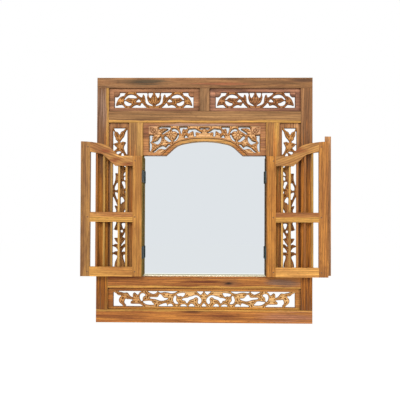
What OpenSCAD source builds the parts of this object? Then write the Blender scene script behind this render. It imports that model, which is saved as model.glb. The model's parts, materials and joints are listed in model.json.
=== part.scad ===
// Teak wall mirror in a carved window frame, with two barred shutters on butt hinges.
// Millimetres. X runs to the right, Y towards the wall and Z up. The origin is on the wall plane,
// midway between the two keyhole plates that hang the mirror. The shutters are drawn fully open.

/* [Frame] */
// Width of the frame over its stiles
frame_w = 704; // [690:1:730]
// Height of the frame
frame_h = 800; // [790:1:810]
// Depth of the frame from its front to the wall
frame_t = 38; // [36:1:44]
// Height of the top rail
top_rail_h = 34; // [34:1:38]
// Height of the bottom rail
bottom_rail_h = 43; // [40:1:48]
// Width of each stile
stile_w = 38; // [36:1:42]
// Height of the transom under the two upper panels
transom_h = 38; // [36:1:42]
// Height of the sill under the mirror
sill_h = 38; // [36:1:42]
// Width of each jamb beside the mirror
jamb_w = 45; // [40:1:48]
// Width of the mullion between the upper panels
mullion_w = 32; // [30:1:36]
// Height of the bottom panel between sill and bottom rail
bottom_sight_h = 70; // [66:1:74]
// Height of the upper panels between transom and top rail
upper_sight_h = 75; // [72:1:78]

/* [Opening and arch] */
// Width of the opening between the jambs
opening_w = 402; // [400:1:404]
// Height of the arch panel at its sides
arch_panel_h = 107; // [100:1:112]
// Rise of the arch above its flat shoulders
arch_rise = 47; // [44:1:50]
// Radius of the middle of the arch
arch_r = 310; // [280:5:340]
// Angle that the middle of the arch covers on each side
arch_a = 14; // [12:1:16]
// Radius of the haunches
haunch_r = 60; // [50:1:70]
// Slope of the straight ends of the arch
haunch_a = 43; // [40:1:48]

/* [Carved panels] */
// Thickness of the carved panels
panel_t = 14; // [12:1:16]
// Distance of a panel's face behind the front of the frame
panel_recess = 8; // [6:1:10]
// Thickness of the arch panel
arch_t = 18; // [16:1:20]
// Depth of the grooves that hold the panels
groove_d = 7; // [5:1:8]
// Depth to which the carved field is sunk below the panel's face
sink_d = 2.5; // [1:0.5:4]
// Distance from the arch line to the groove that sets off its bead
bead_line_at = 8.5; // [6:0.5:11]
// Width of that groove
bead_line_w = 1.8; // [1:0.1:3]
// Depth of that groove
bead_line_d = 1.5; // [0.5:0.1:3]
// Border that is sunk with the field round its openings
sink_lip = 1.6; // [1:0.2:3]
// Radius that the saw leaves in corners
saw_r = 0.7; // [0.4:0.1:1]
// Wood that the saw and the file take off on each side of a drawn cut
kerf = 0.5; // [0:0.1:1.2]

/* [Mirror] */
// Thickness of the mirror glass
glass_t = 4; // [3:1:5]
// Distance of the glass behind the front of the frame
glass_recess = 27; // [25:1:28]
// Width of the rebate that the glass lies in
rebate_w = 8; // [6:1:9]
// Thickness of the backing board
backing_t = 3; // [3:1:3]
// Width of the cleats over the backing board
cleat_w = 16; // [12:1:20]
// Gap between the ends of the cleats
cleat_gap = 0.5; // [0.2:0.1:1]

/* [Shutters] */
// Thickness of the shutters
shutter_t = 20; // [18:1:20]
// Width of the shutter stiles
shutter_stile_w = 30; // [28:1:32]
// Height of the shutter's top rail, square to its curve
shutter_top_h = 32; // [30:1:34]
// Height of the middle rail
mid_rail_h = 32; // [28:1:34]
// Height of the bottom rail
shutter_bottom_h = 31; // [28:1:34]
// Lower edge of the middle rail above the shutter's foot
mid_rail_at = 176; // [165:1:190]
// Number of bars in each shutter
bars = 5; // [5:1:5]
// Width of a bar
bar_w = 7; // [6:0.5:8]
// Depth of a bar
bar_t = 9; // [8:1:10]
// Gap between the sill and the shutter's foot
foot_gap = 0.8; // [0.6:0.2:1.6]
// Gap between the shutter's top and the arch
top_gap = 4.5; // [4:0.5:6]
// Gap between a shutter and its jamb
jamb_gap = 1.4; // [1.2:0.1:1.6]
// Gap between the closed shutters
meeting_gap = 2; // [2:0.5:3]
// Width of the astragal on the right shutter
astragal_w = 19.4; // [18:0.2:22]
// Thickness of the astragal
astragal_t = 8; // [7:1:9]
// Part of the astragal that stands past the right shutter's edge
astragal_lap = 11; // [10:0.5:12]

/* [Hinges] */
// Height of a hinge
hinge_h = 38; // [34:1:50]
// Height of the lower hinges' middle above the foot of the frame
low_hinge_at = 228; // [220:1:240]
// Height of the upper hinges' middle above the foot of the frame
high_hinge_at = 476; // [460:1:485]
// Distance of the pin in front of the frame
pin_front = 4; // [4:0.5:5]
// Radius of a hinge pin
pin_r = 1.5; // [1.5:0.1:1.6]
// Outer radius of the knuckles
knuckle_r = 3.5; // [3.4:0.1:3.6]
// Thickness of the leaves
leaf_t = 1.8; // [1.6:0.1:2]

/* [Hanging] */
// Distance between the two keyholes
keyhole_spacing = 400; // [380:10:420]
// Radius of the round part of a keyhole
keyhole_r = 4.5; // [4:0.5:5]

/* [Hidden] */
$fn = 48;
left = -1;
right = 1;

hang_h = frame_h - top_rail_h / 2;
half_w = frame_w / 2;
half_open = opening_w / 2;
panel_in = mullion_w / 2 - groove_d;
stile_in = half_w - stile_w;
jamb_out = half_open + jamb_w;
sill_low = bottom_rail_h + bottom_sight_h;
sill_top = sill_low + sill_h;
upper_top = frame_h - top_rail_h;
upper_low = upper_top - upper_sight_h;
transom_low = upper_low - transom_h;
arch_flat = transom_low - arch_panel_h;
arch_top = arch_flat + arch_rise;

front_y = -frame_t;
panel_y = front_y + panel_recess;
panel_back_y = panel_y + panel_t;
arch_y = panel_back_y - arch_t;
glass_y = front_y + glass_recess;
tenon_t = 12;
tenon_y = panel_back_y + 2 - tenon_t;
tenon_l = 20;
frame_peg_r = 4;
frame_peg_y = tenon_y - 2;

pin_x = half_open - jamb_gap / 2;
pin_y = front_y - pin_front;
edge_x = half_open - jamb_gap;
meet_x = meeting_gap / 2;
foot_h = sill_top + foot_gap;
shutter_back_y = front_y + shutter_t;
inner_x0 = meet_x + shutter_stile_w;
inner_x1 = edge_x - shutter_stile_w;
bar_pitch = (inner_x1 - inner_x0 + bar_w) / (bars + 1);
bar_seat = 7;
rail_tenon_l = 16;
rail_tenon_t = 7;
shutter_peg_r = 2.2;
peg_inset = 7.5;
astragal_relief = 0.5;
astragal_rise = 18.5;
astragal_foot = 4;

leaf_d = 18;
knuckles = 5;
knuckle_gap = 0.3;
knuckle_h = (hinge_h - (knuckles - 1) * knuckle_gap) / knuckles;
running = 0.05;
hinge_screw_l = 16;
hinge_screw_r = 1.5;
hinge_head_r = 3;
pin_head_h = 1.6;

plate_t = 2;
plate_w = 60;
plate_h = 22;
plate_low = -8;
slot_r = 2.2;
slot_up = 8;
pocket_d = 12;
plate_screw_x = 23;
plate_screw_z = 3;
plate_screw_l = 16;

teak = "#a8703a";
golden_teak = "#b9793c";
carved_teak = "#b8722f";
dark_teak = "#7d4f28";
iron = "#3a3734";
zinc = "#a9abad";

// ---------------------------------------------------------------------------
// Placing helpers. Heights in the modules below are measured from the foot of the frame.
// ---------------------------------------------------------------------------

module from_foot() {
    translate([0, 0, -hang_h]) children();
}

// The right-hand half is drawn, and the left-hand one is its mirror image.
module on_side(side) {
    if (side == left) mirror([1, 0, 0]) children();
    else children();
}

module on_both_sides() {
    children();
    mirror([1, 0, 0]) children();
}

// Turns what is drawn for a closed right-hand shutter by half a turn about its hinge pins.
module swung_open() {
    translate([pin_x, pin_y, 0]) rotate([0, 0, 180]) translate([-pin_x, -pin_y, 0]) children();
}

module block(x0, x1, y0, y1, h0, h1) {
    translate([x0, y0, h0]) cube([x1 - x0, y1 - y0, h1 - h0]);
}

// Stands a drawing in X and height up in the frame, from y0 towards the wall.
module upright(y0, thick) {
    translate([0, y0 + thick, 0]) rotate([90, 0, 0]) linear_extrude(thick) children();
}

module rod_to_wall(x, h, y0, y1, r) {
    translate([x, y1, h]) rotate([90, 0, 0]) cylinder(r = r, h = y1 - y0);
}

// ---------------------------------------------------------------------------
// The arch: a wide middle arc, two tighter haunches and straight ends. A positive inset draws the
// same line further inside the opening, which keeps the parallel edges truly parallel.
// ---------------------------------------------------------------------------

function middle_arc(a, inset) = [
    (arch_r - inset) * sin(a),
    arch_top - arch_r + (arch_r - inset) * cos(a)
];

function haunch_arc(a, inset) = [
    (arch_r - haunch_r) * sin(arch_a) + (haunch_r - inset) * sin(a),
    arch_top - arch_r + (arch_r - haunch_r) * cos(arch_a) + (haunch_r - inset) * cos(a)
];

function half_arch(inset, base) =
    let (last = haunch_arc(haunch_a, inset))
    concat(
        [for (i = [1:8]) middle_arc(arch_a * i / 8, inset)],
        [for (i = [1:4]) haunch_arc(arch_a + (haunch_a - arch_a) * i / 4, inset)],
        [[last.x + (last.y - base) / tan(haunch_a), base]]
    );

// Height of the inset arch line at a distance x from the middle
function arch_height(x, inset) =
    let (
        a = abs(x),
        m = middle_arc(arch_a, inset),
        k = haunch_arc(haunch_a, inset),
        hx = (arch_r - haunch_r) * sin(arch_a),
        hz = arch_top - arch_r + (arch_r - haunch_r) * cos(arch_a)
    )
    a <= m.x ? arch_top - arch_r + sqrt(pow(arch_r - inset, 2) - a * a)
    : a <= k.x ? hz + sqrt(pow(haunch_r - inset, 2) - pow(a - hx, 2))
    : k.y - (a - k.x) * tan(haunch_a);

module under_arch(inset, base) {
    half = half_arch(inset, base);
    polygon(concat(
        [middle_arc(0, inset)],
        half,
        [for (i = [len(half) - 1:-1:0]) [-half[i].x, half[i].y]]
    ));
}

// ---------------------------------------------------------------------------
// Fretwork: each opening is one closed saw cut, given by the points that the saw passes through
// ---------------------------------------------------------------------------

// Puts a point between each two, on the curve that the four nearest points suggest
function sawn(p) =
    let (n = len(p))
    [for (i = [0:n - 1]) each [
        p[i],
        (9 * (p[i] + p[(i + 1) % n]) - p[(i + n - 1) % n] - p[(i + 2) % n]) / 16
    ]];

module cuts(list) {
    for (p = list) polygon(sawn(p));
}

module mirrored_cuts(list) {
    cuts(list);
    mirror([1, 0, 0]) cuts(list);
}

// A carved board. Its children are the board, the field and the cuts. The field is sunk a little
// below the border, and the cuts are rounded where the saw turned.
module carved_board(y0, thick) {
    difference() {
        upright(y0, thick) difference() {
            children(0);
            offset(r = saw_r + kerf, $fn = 12) offset(delta = -saw_r) intersection() {
                offset(delta = -kerf) children(1);
                children(2);
            }
        }
        upright(y0 - 1, sink_d + 1) offset(delta = sink_lip) children(1);
    }
}

// Upper panels: a bud between petals, with a scroll on each side of it
upper_field = [259, 49.5];
upper_shift = [1.5, -0.5];

module upper_field_outline() {
    square(upper_field, center = true);
}

function upper_cuts() = [
    // between the bud and a petal
    [[4, 27], [5, 20], [8.5, 13], [12, 8.5], [15, 10.5], [17.5, 17], [17.5, 27]],
    // outside the petal, down to the stem, and over the tip of the leaf
    [[57, 27], [54, 18.5], [48, 14], [43, 10.5], [40, 11], [38, 16], [36, 19.5], [33, 18],
     [30, 12.5], [28.5, 5], [28, -3], [26, -9], [20.5, -14], [12, -17], [5, -18.5], [8, -14.5],
     [14, -11], [19, -6.5], [22, 1], [24, 10], [24, 27]],
    // eye between stem and scroll
    [[44.5, -4.5], [47, 0], [51, 3.5], [55, 0.5], [59.5, -4.5], [52, -6]],
    // along the lower border
    [[26, -27], [32, -18.5], [37, -13], [40.5, -9], [43, -12.5], [45.5, -17.5], [50, -18],
     [56.5, -15.5], [63, -17], [70, -21.5], [70.5, -27]],
    // upper and lower crescent inside the scroll
    [[57.5, 8.5], [61, 13], [68, 17], [76, 18.5], [84, 17], [91, 12.5], [96.5, 6], [98.5, 1.5],
     [94.5, 2], [90, 6], [85, 9], [80, 8], [74, 7.5], [68, 7.5], [63, 7]],
    [[98.5, -3], [98, -9], [94.5, -14.5], [88.5, -18], [81.5, -18], [76.5, -15], [75, -10.5],
     [80, -9], [85, -7.5], [90, -4.5], [94.5, -2.5]],
    // round the outer leaf
    [[95, 28], [111, 28], [112.5, 19], [117, 12.5], [123, 9.5], [133, 7], [133, -28], [97, -28],
     [101.5, -19.5], [106, -15.5], [112, -15.5], [118, -16.5], [124.5, -19], [126.5, -16],
     [124.5, -9], [121, -1], [117.5, 5], [112, 10.5], [105, 14], [99, 16]]
];

// Side panels: a climbing vine. Heights count down from the top of the field.
side_field = [47, 467];
side_shift = [-2.5, 0];

module side_field_outline() {
    translate([-side_field.x / 2, -side_field.y]) square(side_field);
}

function side_cuts() = [
    // between the two top leaves
    [[-16, 3], [18, 3], [18.5, -4.5], [15.5, -9.5], [9.5, -11.5], [6, -15], [3.5, -20.5],
     [0, -17], [-3, -11], [-8.5, -8.5], [-12.5, -5]],
    // down the inner border, round the second pair of leaves
    [[-27, -8], [-18.5, -10], [-16, -17], [-13.5, -24.5], [-11, -30], [-7, -34], [-3.5, -39],
     [-0.5, -44], [-2, -46.5], [-7, -43.5], [-13, -44], [-19.5, -46.5], [-17, -51], [-14, -57],
     [-12, -63], [-13, -69], [-15.5, -75], [-18, -80], [-21, -84], [-27, -84]],
    // down the outer border
    [[20.5, -11], [27, -10], [27, -49], [20, -49.5], [13, -47.5], [8, -45], [11, -41.5],
     [15.5, -37.5], [16, -32], [18.5, -27], [20.5, -22], [20, -16]],
    [[27, -53], [20, -55], [17.5, -59], [13.5, -62], [11, -65], [14, -69], [18, -72.5], [27, -76]],
    // eyes where the stems cross
    [[-3, -78.5], [2, -76.5], [9, -77], [12.5, -79.5], [11, -83], [6, -85], [2, -82]],
    [[-9.5, -83], [-6, -82], [-4, -86], [-4.5, -90.5], [-9, -93], [-14, -93], [-12, -88]],
    [[-27, -92], [-19, -95], [-12, -103], [-8, -112], [-11, -122], [-18, -128], [-27, -130]],
    [[27, -82], [18, -87], [11, -95], [12, -102], [19, -106], [27, -107]],
    // the wide upper opening beside the stem
    [[27, -112], [27, -187], [20.5, -184], [17.5, -176], [15.5, -168], [15, -157], [16, -149],
     [12.5, -147], [7.5, -148], [5, -142], [5, -130], [10, -118], [17, -112]],
    [[-20, -142.5], [-16, -145], [-12.5, -151], [-12, -155.5], [-17, -154.5], [-20.5, -150]],
    [[-18.5, -159.5], [-14.5, -160], [-12.5, -165], [-13.5, -169.5], [-18, -170]],
    [[-16.5, -178.5], [-12.5, -175.5], [-7, -176], [-6.5, -180.5], [-9.5, -186], [-12, -192],
     [-13.5, -198], [-17.5, -196], [-18.5, -190], [-16.5, -184]],
    // two drops, above and below the cross stem
    [[5.5, -183], [9.5, -180], [14, -187], [17, -194], [17, -201.5], [12, -203.5], [7, -200.5],
     [5, -193]],
    [[6, -215], [11, -212], [16, -211], [15.5, -217.5], [12.5, -225], [9.5, -232.5], [5.5, -232.5],
     [4.5, -224]],
    [[-26, -206], [-17, -207.5], [-18, -213], [-26, -215]],
    [[-7.5, -227], [-3, -228], [-2.5, -238], [-3.5, -250], [-6.5, -244.5], [-11.5, -242.5],
     [-14.5, -239], [-12, -233]],
    [[20.5, -228], [27, -228], [27, -277], [14, -276], [13, -268], [15.5, -262], [17.5, -255],
     [13, -253.5], [8.5, -256], [11, -249], [14.5, -240.5], [18, -233]],
    [[-27, -262], [-19, -265], [-14, -274], [-10, -286], [-12, -296], [-18, -302], [-27, -304]],
    // below the middle rail of the shutter
    [[-18, -313], [-7, -313.5], [-8, -321.5], [-11.5, -329.5], [-14.5, -329.5], [-17.5, -321]],
    [[12.5, -309], [27, -308], [27, -332], [19, -331], [16.5, -324], [13.5, -317]],
    [[-10.5, -337.5], [-7, -334.5], [-3, -337.5], [-5.5, -342.5], [-9, -341.5]],
    [[-20, -342], [-16.5, -344], [-13.5, -350], [-9.5, -356.5], [-14.5, -359.5], [-20.5, -360.5]],
    [[6.5, -337], [12, -336.5], [27, -335.5], [27, -382], [14, -379.5], [6, -381], [8, -377],
     [13, -372], [16, -366], [18.5, -361.5], [13.5, -359.5], [7, -359.5], [6.5, -348]],
    [[-20.5, -365], [-16, -368.5], [-12.5, -374.5], [-7.5, -381], [-4.5, -386.5], [-9.5, -383.5],
     [-13.5, -379.5], [-20.5, -377.5]],
    // below the second pair of curved leaves
    [[-20.5, -391.5], [-15, -393], [-10.5, -398.5], [-7, -406], [-12, -404.5], [-20.5, -405]],
    [[27, -389], [15.5, -391], [10.5, -395], [6, -403.5], [14, -404], [27, -409]],
    // beside the bell at the foot
    [[-20.5, -417.5], [-13, -417.5], [-11.5, -421], [-12.5, -428], [-15.5, -437], [-18, -447],
     [-19, -472], [-27, -472], [-22, -440]],
    [[10.5, -418.5], [27, -418], [27, -472], [19, -472], [17, -450], [14.5, -438], [10, -428.5],
     [8.5, -423]]
];

// Bottom panel: a running vine with three scrolls on each side of the middle
bottom_field = [593, 49.5];
bottom_shift = [0, -1.8];

module bottom_field_outline() {
    square(bottom_field, center = true);
}

function bottom_cuts() = [
    // outside the end leaf and the stem that curls under it
    [[300, 17], [289, 17.5], [284, 12.5], [279, 10], [271.5, 9.5], [277, 3], [279.5, -4],
     [278, -11], [274, -16], [268.5, -20], [267, -28], [300, -28]],
    // along the upper border, over the end leaf
    [[209, 28], [212, 20], [216, 14], [219, 13.5], [224, 18], [229, 20.5], [232.5, 17], [234, 10],
     [233, 5.5], [238, 6.5], [244, 11], [249, 18], [254, 20], [262, 19], [270, 21], [278, 22.5],
     [282, 28]],
    // under the end leaf and along the lower border
    [[234, -4], [243, -2.5], [251, -2.5], [256.5, -1], [260, -7], [261, -12.5], [258.5, -17],
     [254.5, -21], [252, -28], [202, -28], [207, -19], [216, -17.5], [229, -17.5], [239, -17],
     [241, -14], [240, -9], [236, -6]],
    // crescent of the first scroll, and the long eye below it
    [[192, 12], [196, 16.5], [203.5, 17], [208.5, 13], [210.5, 6], [209, -2], [204.5, -8],
     [201, -4], [201, 2], [198.5, 7], [194, 9.5]],
    [[163, -19], [168, -14], [172, -8.5], [180, -7], [190, -8], [200, -9.5], [195.5, -14.5],
     [188, -18.5], [176, -20]],
    // along the upper border
    [[153, 28], [155.5, 21], [160, 17.5], [165.5, 15.5], [171, 17], [177, 20], [182, 22.5], [186, 28]],
    [[86, 28], [92, 22], [99, 19], [108, 18], [115, 20], [123, 21.5], [131, 22], [138, 20.5],
     [145, 20.5], [149, 28]],
    // flame between the leaves
    [[117, 0.5], [123, 2], [130, 2.5], [135, 7], [139, 12], [143, 14.5], [147.5, 12], [150, 6],
     [157, 4.5], [166, 5], [176, 4.5], [176.5, 1.5], [169, -0.5], [158, -1.5], [150, -4.5],
     [142, -6.5], [133, -6], [124, -3]],
    // along the lower border
    [[121, -28], [121.5, -18], [124.5, -14.5], [131, -15.5], [138, -18], [146, -21.5], [147, -28]],
    [[101.5, -28], [104, -19], [109, -16.5], [115, -18], [117.5, -20.5], [117.5, -28]],
    // crescent of the second scroll, and the gap above its leaf
    [[91, 7], [94.5, 10], [98.5, 4], [100.5, -3], [99, -10], [94.5, -15], [88, -16.5],
     [84.5, -14], [88, -10], [91.5, -5.5], [91.5, 0]],
    [[61.5, 18.5], [67, 19.5], [74, 19], [82, 17.5], [89, 14.5], [86, 10.5], [81, 8.5],
     [76.5, 10], [71, 7.5], [66.5, 9], [63.5, 14]],
    // winding gap round the leaf of the inner scroll
    [[8.5, -7], [9, -1], [13, 4.5], [18.5, 9.5], [25, 11.5], [32, 11], [39, 8.5], [47, 7],
     [53, 3.5], [60, 3], [68, 1], [71.5, -3], [66, -5], [60.5, -6.5], [58.5, -12],
     [54.5, -13.5], [51.5, -9], [47, -3.5], [40, -1], [34, 1], [29.5, 5], [23, 5.5],
     [18.5, 1], [18.5, -5], [20, -11], [16, -16.5], [11, -13]],
    [[30, -28], [34, -19], [40, -16], [46, -18.5], [49, -28]],
    [[56.5, -28], [59, -20], [66, -18], [74, -19.5], [76.5, -28]],
    // beside the middle, at the upper border
    [[3.5, 28], [4, 21], [7, 17.5], [11, 14], [15.5, 17.5], [20, 21.5], [25.5, 28]]
];

function bottom_middle_cuts() = [[[-7, -28], [-5, -20], [0, -14.5], [5, -20], [7, -28]]];

// Arch panel: a scroll with a rosette in each haunch. Heights count up from the flat shoulders.
arch_field_x = 181.5;
arch_field_top = 95;
arch_bead = 15;

module arch_field_outline() {
    difference() {
        translate([-arch_field_x, 9]) square([2 * arch_field_x, arch_field_top - 9]);
        translate([0, -arch_flat]) under_arch(-arch_bead, arch_flat - 10);
    }
}

function arch_cuts() = [
    // over the spreading leaves beside the middle flower
    [[9, 74.5], [15, 79], [23, 83.5], [31, 88.5], [40, 87.5], [49, 87], [54, 83], [55, 76],
     [52, 72.5], [47, 75.5], [41, 79.5], [36.5, 80.5], [35, 73], [35, 66], [32, 62.5],
     [28.5, 64.5], [30, 71], [29, 76.5], [22, 76.5], [14, 74]],
    // round the two stems that cross
    [[53, 60.5], [58, 64], [62, 68], [65, 63], [65.5, 57.5], [59, 58.5]],
    [[55, 91.5], [59, 87.5], [63, 86], [68, 88.5], [71.5, 87], [74, 79], [75.5, 72], [77.5, 74],
     [79, 81], [81.5, 88], [82, 92.5], [76, 94], [60, 94]],
    // inside the ring, round the rosette
    [[84.5, 74], [87, 80.5], [92, 86], [99, 89], [106, 88], [108, 83], [103, 80], [97, 80],
     [92, 77.5], [88, 74]],
    [[84.5, 70], [88, 69.5], [91.5, 62], [95.5, 56], [102, 49], [99.5, 46.5], [93, 49.5],
     [88, 55.5], [85, 62]],
    [[108.5, 47.5], [115, 44.5], [123, 48.5], [130.5, 54.5], [133, 62], [129, 65], [123, 60.5],
     [118, 54.5], [112, 50.5]],
    // round the leaf at the upper border
    [[111.5, 90], [114, 94.5], [130, 95], [144, 95], [149.5, 92], [149, 86], [145, 88],
     [137, 90], [127, 89.5], [118.5, 88], [124, 84.5], [130, 80.5], [136, 76.5], [140.5, 72],
     [137, 69.5], [131, 73], [124, 77.5], [117, 82], [113, 86]],
    // beside the leaves that fall into the corner
    [[143.5, 63], [142.5, 55], [143, 48], [147, 41], [152.5, 36.5], [158, 37.5], [162, 40],
     [169.5, 41.5], [168, 45], [161.5, 47], [155.5, 50], [151.5, 55], [147.5, 59.5]],
    [[166, 65.5], [174, 66.5], [185, 66], [185, 44], [177, 43.5], [173, 49], [171, 55], [172.5, 60]],
    [[176, 40], [185, 42], [185, 15], [177.5, 13.5], [174, 22], [173, 31]],
    // above the lower border
    [[112, 35.5], [117, 37.5], [121.5, 35], [125, 30], [129, 27.5], [133, 30], [139, 32],
     [146, 29.5], [152.5, 26], [158.5, 21], [164, 16], [170, 12], [166, 10], [160, 12.5],
     [154.5, 18], [148.5, 21.5], [140, 22], [132, 20], [127, 21], [121.5, 26.5], [116, 32]]
];

function arch_middle_cuts() = [
    [[-17, 89], [-12, 91], [0, 91], [12, 91], [17, 89], [11, 86], [5, 87], [0, 88.5], [-5, 87],
     [-11, 86]]
];

// ---------------------------------------------------------------------------
// Frame members
// ---------------------------------------------------------------------------

// Groove for a carved panel along a member
module panel_groove(x0, x1, h0, h1) {
    block(x0, x1, panel_y, panel_back_y, h0, h1);
}

// Groove for the thicker arch panel
module arch_groove(h0, h1) {
    block(-half_open - groove_d, half_open + groove_d, arch_y, panel_back_y, h0, h1);
}

module tenon(x0, x1, h0, h1) {
    block(x0, x1, tenon_y, tenon_y + tenon_t, h0, h1);
}

// The tenons of the right-hand half. Each fits a mortise of its own size.
module stile_tenons() {
    tenon(stile_in + 11, half_w - 5, upper_top, upper_top + 22);
    tenon(stile_in + 11, half_w - 5, bottom_rail_h - 22, bottom_rail_h);
}

module transom_tenon() {
    tenon(stile_in, stile_in + tenon_l, transom_low + 9, transom_low + transom_h - 9);
}

module sill_tenon() {
    tenon(stile_in, stile_in + tenon_l, sill_low + 9, sill_low + sill_h - 9);
}

module jamb_tenons() {
    tenon(half_open + 11, jamb_out - 11, transom_low, transom_low + 18);
    tenon(half_open + 11, jamb_out - 11, sill_top - 18, sill_top);
}

module mullion_tenons() {
    tenon(-8, 8, upper_top, upper_top + 15);
    tenon(-8, 8, upper_low - 15, upper_low);
}

module mirror_rebate() {
    out_x = half_open + rebate_w;
    block(-out_x, out_x, glass_y, 1, sill_top - rebate_w, transom_low + rebate_w);
}

// Places of the pegs that lock the frame, on the right-hand side and in the middle
function side_peg_places() = [
    [half_w - 16, upper_top + 11],
    [half_w - 16, bottom_rail_h - 11],
    [stile_in + 10, transom_low + transom_h / 2],
    [stile_in + 10, sill_low + sill_h / 2],
    [half_open + jamb_w / 2, transom_low + 9],
    [half_open + jamb_w / 2, sill_top - 9]
];
function middle_peg_places() = [[0, upper_top + 7.5], [0, upper_low - 7.5]];

module frame_peg_solids() {
    on_both_sides()
        for (p = side_peg_places()) rod_to_wall(p.x, p.y, frame_peg_y, 0, frame_peg_r);
    for (p = middle_peg_places()) rod_to_wall(p.x, p.y, frame_peg_y, 0, frame_peg_r);
}

module frame_pegs() {
    color(dark_teak) from_foot() frame_peg_solids();
}

module keyhole_plate_blank() {
    translate([keyhole_spacing / 2 - plate_w / 2, -plate_t, plate_low])
        cube([plate_w, plate_t, plate_h]);
}

module keyhole_pocket() {
    translate([keyhole_spacing / 2 - 9, -plate_t - pocket_d, plate_low + 1])
        cube([18, pocket_d + 1, plate_h - 2]);
}

module plate_screw(x) {
    translate([x, 0, plate_screw_z]) rotate([90, 0, 0]) {
        cylinder(r1 = 3.4, r2 = 1.7, h = 1.7);
        cylinder(r = 1.7, h = plate_screw_l);
    }
}

module plate_screws() {
    on_both_sides()
        for (way = [-1, 1]) plate_screw(keyhole_spacing / 2 + way * plate_screw_x);
}

module top_rail() {
    color(dark_teak) difference() {
        from_foot() difference() {
            block(-half_w, half_w, front_y, 0, upper_top, frame_h);
            on_both_sides() {
                panel_groove(panel_in, stile_in + groove_d, upper_top - 1, upper_top + groove_d);
                stile_tenons();
            }
            mullion_tenons();
            frame_peg_solids();
        }
        on_both_sides() {
            keyhole_plate_blank();
            keyhole_pocket();
        }
        plate_screws();
    }
}

module bottom_rail() {
    groove_x = stile_in + groove_d;
    color(teak) from_foot() difference() {
        block(-half_w, half_w, front_y, 0, 0, bottom_rail_h);
        panel_groove(-groove_x, groove_x, bottom_rail_h - groove_d, bottom_rail_h + 1);
        on_both_sides() stile_tenons();
        frame_peg_solids();
    }
}

module stile(side) {
    color(teak) from_foot() on_side(side) difference() {
        union() {
            block(stile_in, half_w, front_y, 0, bottom_rail_h, upper_top);
            stile_tenons();
        }
        panel_groove(stile_in - 1, stile_in + groove_d, upper_low - groove_d, upper_top + 1);
        panel_groove(stile_in - 1, stile_in + groove_d, sill_top - groove_d, transom_low + groove_d);
        panel_groove(stile_in - 1, stile_in + groove_d, bottom_rail_h - 1, sill_low + groove_d);
        transom_tenon();
        sill_tenon();
        frame_peg_solids();
    }
}

module transom_rail() {
    color(teak) from_foot() difference() {
        union() {
            block(-stile_in, stile_in, front_y, 0, transom_low, upper_low);
            on_both_sides() transom_tenon();
        }
        on_both_sides() {
            panel_groove(panel_in, stile_in + 1, upper_low - groove_d, upper_low + 1);
            panel_groove(jamb_out - groove_d, stile_in + 1, transom_low - 1, transom_low + groove_d);
            jamb_tenons();
        }
        arch_groove(transom_low - 1, transom_low + groove_d);
        mirror_rebate();
        mullion_tenons();
        frame_peg_solids();
    }
}

module sill_rail() {
    color(teak) from_foot() difference() {
        union() {
            block(-stile_in, stile_in, front_y, 0, sill_low, sill_top);
            on_both_sides() sill_tenon();
        }
        on_both_sides() {
            panel_groove(jamb_out - groove_d, stile_in + 1, sill_top - groove_d, sill_top + 1);
            jamb_tenons();
        }
        panel_groove(-stile_in - 1, stile_in + 1, sill_low - 1, sill_low + groove_d);
        mirror_rebate();
        frame_peg_solids();
    }
}

module leaf_recess(x0, x1, h) {
    block(x0, x1, front_y - 1, front_y + leaf_d, h - hinge_h / 2, h + hinge_h / 2);
}

module jamb(side) {
    color(golden_teak) from_foot() on_side(side) difference() {
        union() {
            block(half_open, jamb_out, front_y, 0, sill_top, transom_low);
            jamb_tenons();
        }
        panel_groove(jamb_out - groove_d, jamb_out + 1, sill_top - 1, transom_low + 1);
        arch_groove(arch_flat, transom_low + 1);
        mirror_rebate();
        for (h = [low_hinge_at, high_hinge_at]) {
            leaf_recess(half_open - 1, half_open + leaf_t, h);
            translate([0, 0, h]) frame_leaf_screws();
        }
        frame_peg_solids();
    }
}

module top_mullion() {
    color(teak) from_foot() difference() {
        union() {
            block(-mullion_w / 2, mullion_w / 2, front_y, 0, upper_low, upper_top);
            mullion_tenons();
        }
        on_both_sides()
            panel_groove(panel_in, mullion_w / 2 + 1, upper_low - 1, upper_top + 1);
        frame_peg_solids();
    }
}

// ---------------------------------------------------------------------------
// Carved panels
// ---------------------------------------------------------------------------

module upper_panel(side) {
    wide = stile_in - mullion_w / 2 + 2 * groove_d;
    high = upper_sight_h + 2 * groove_d;
    color(carved_teak) from_foot() on_side(side)
        translate([(stile_in + mullion_w / 2) / 2, 0, (upper_low + upper_top) / 2])
            carved_board(panel_y, panel_t) {
                square([wide, high], center = true);
                translate(upper_shift) upper_field_outline();
                translate(upper_shift) mirrored_cuts(upper_cuts());
            }
}

module side_panel(side) {
    wide = stile_in - jamb_out + 2 * groove_d;
    high = transom_low - sill_top + 2 * groove_d;
    top = side_field.y / 2;
    color(carved_teak) from_foot() on_side(side)
        translate([(stile_in + jamb_out) / 2, 0, (sill_top + transom_low) / 2])
            carved_board(panel_y, panel_t) {
                square([wide, high], center = true);
                translate([side_shift.x, top]) side_field_outline();
                translate([side_shift.x, top]) cuts(side_cuts());
            }
}

module bottom_panel() {
    color(carved_teak) from_foot()
        translate([0, 0, bottom_rail_h + bottom_sight_h / 2])
            carved_board(panel_y, panel_t) {
                square([2 * (stile_in + groove_d), bottom_sight_h + 2 * groove_d], center = true);
                translate(bottom_shift) bottom_field_outline();
                translate(bottom_shift) {
                    mirrored_cuts(bottom_cuts());
                    cuts(bottom_middle_cuts());
                }
            }
}

// The groove that leaves a bead along the arch
module bead_groove() {
    upright(arch_y - 1, bead_line_d + 1) translate([0, -arch_flat]) difference() {
        under_arch(-bead_line_at - bead_line_w, arch_flat - 1);
        under_arch(-bead_line_at, arch_flat - 2);
    }
}

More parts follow.
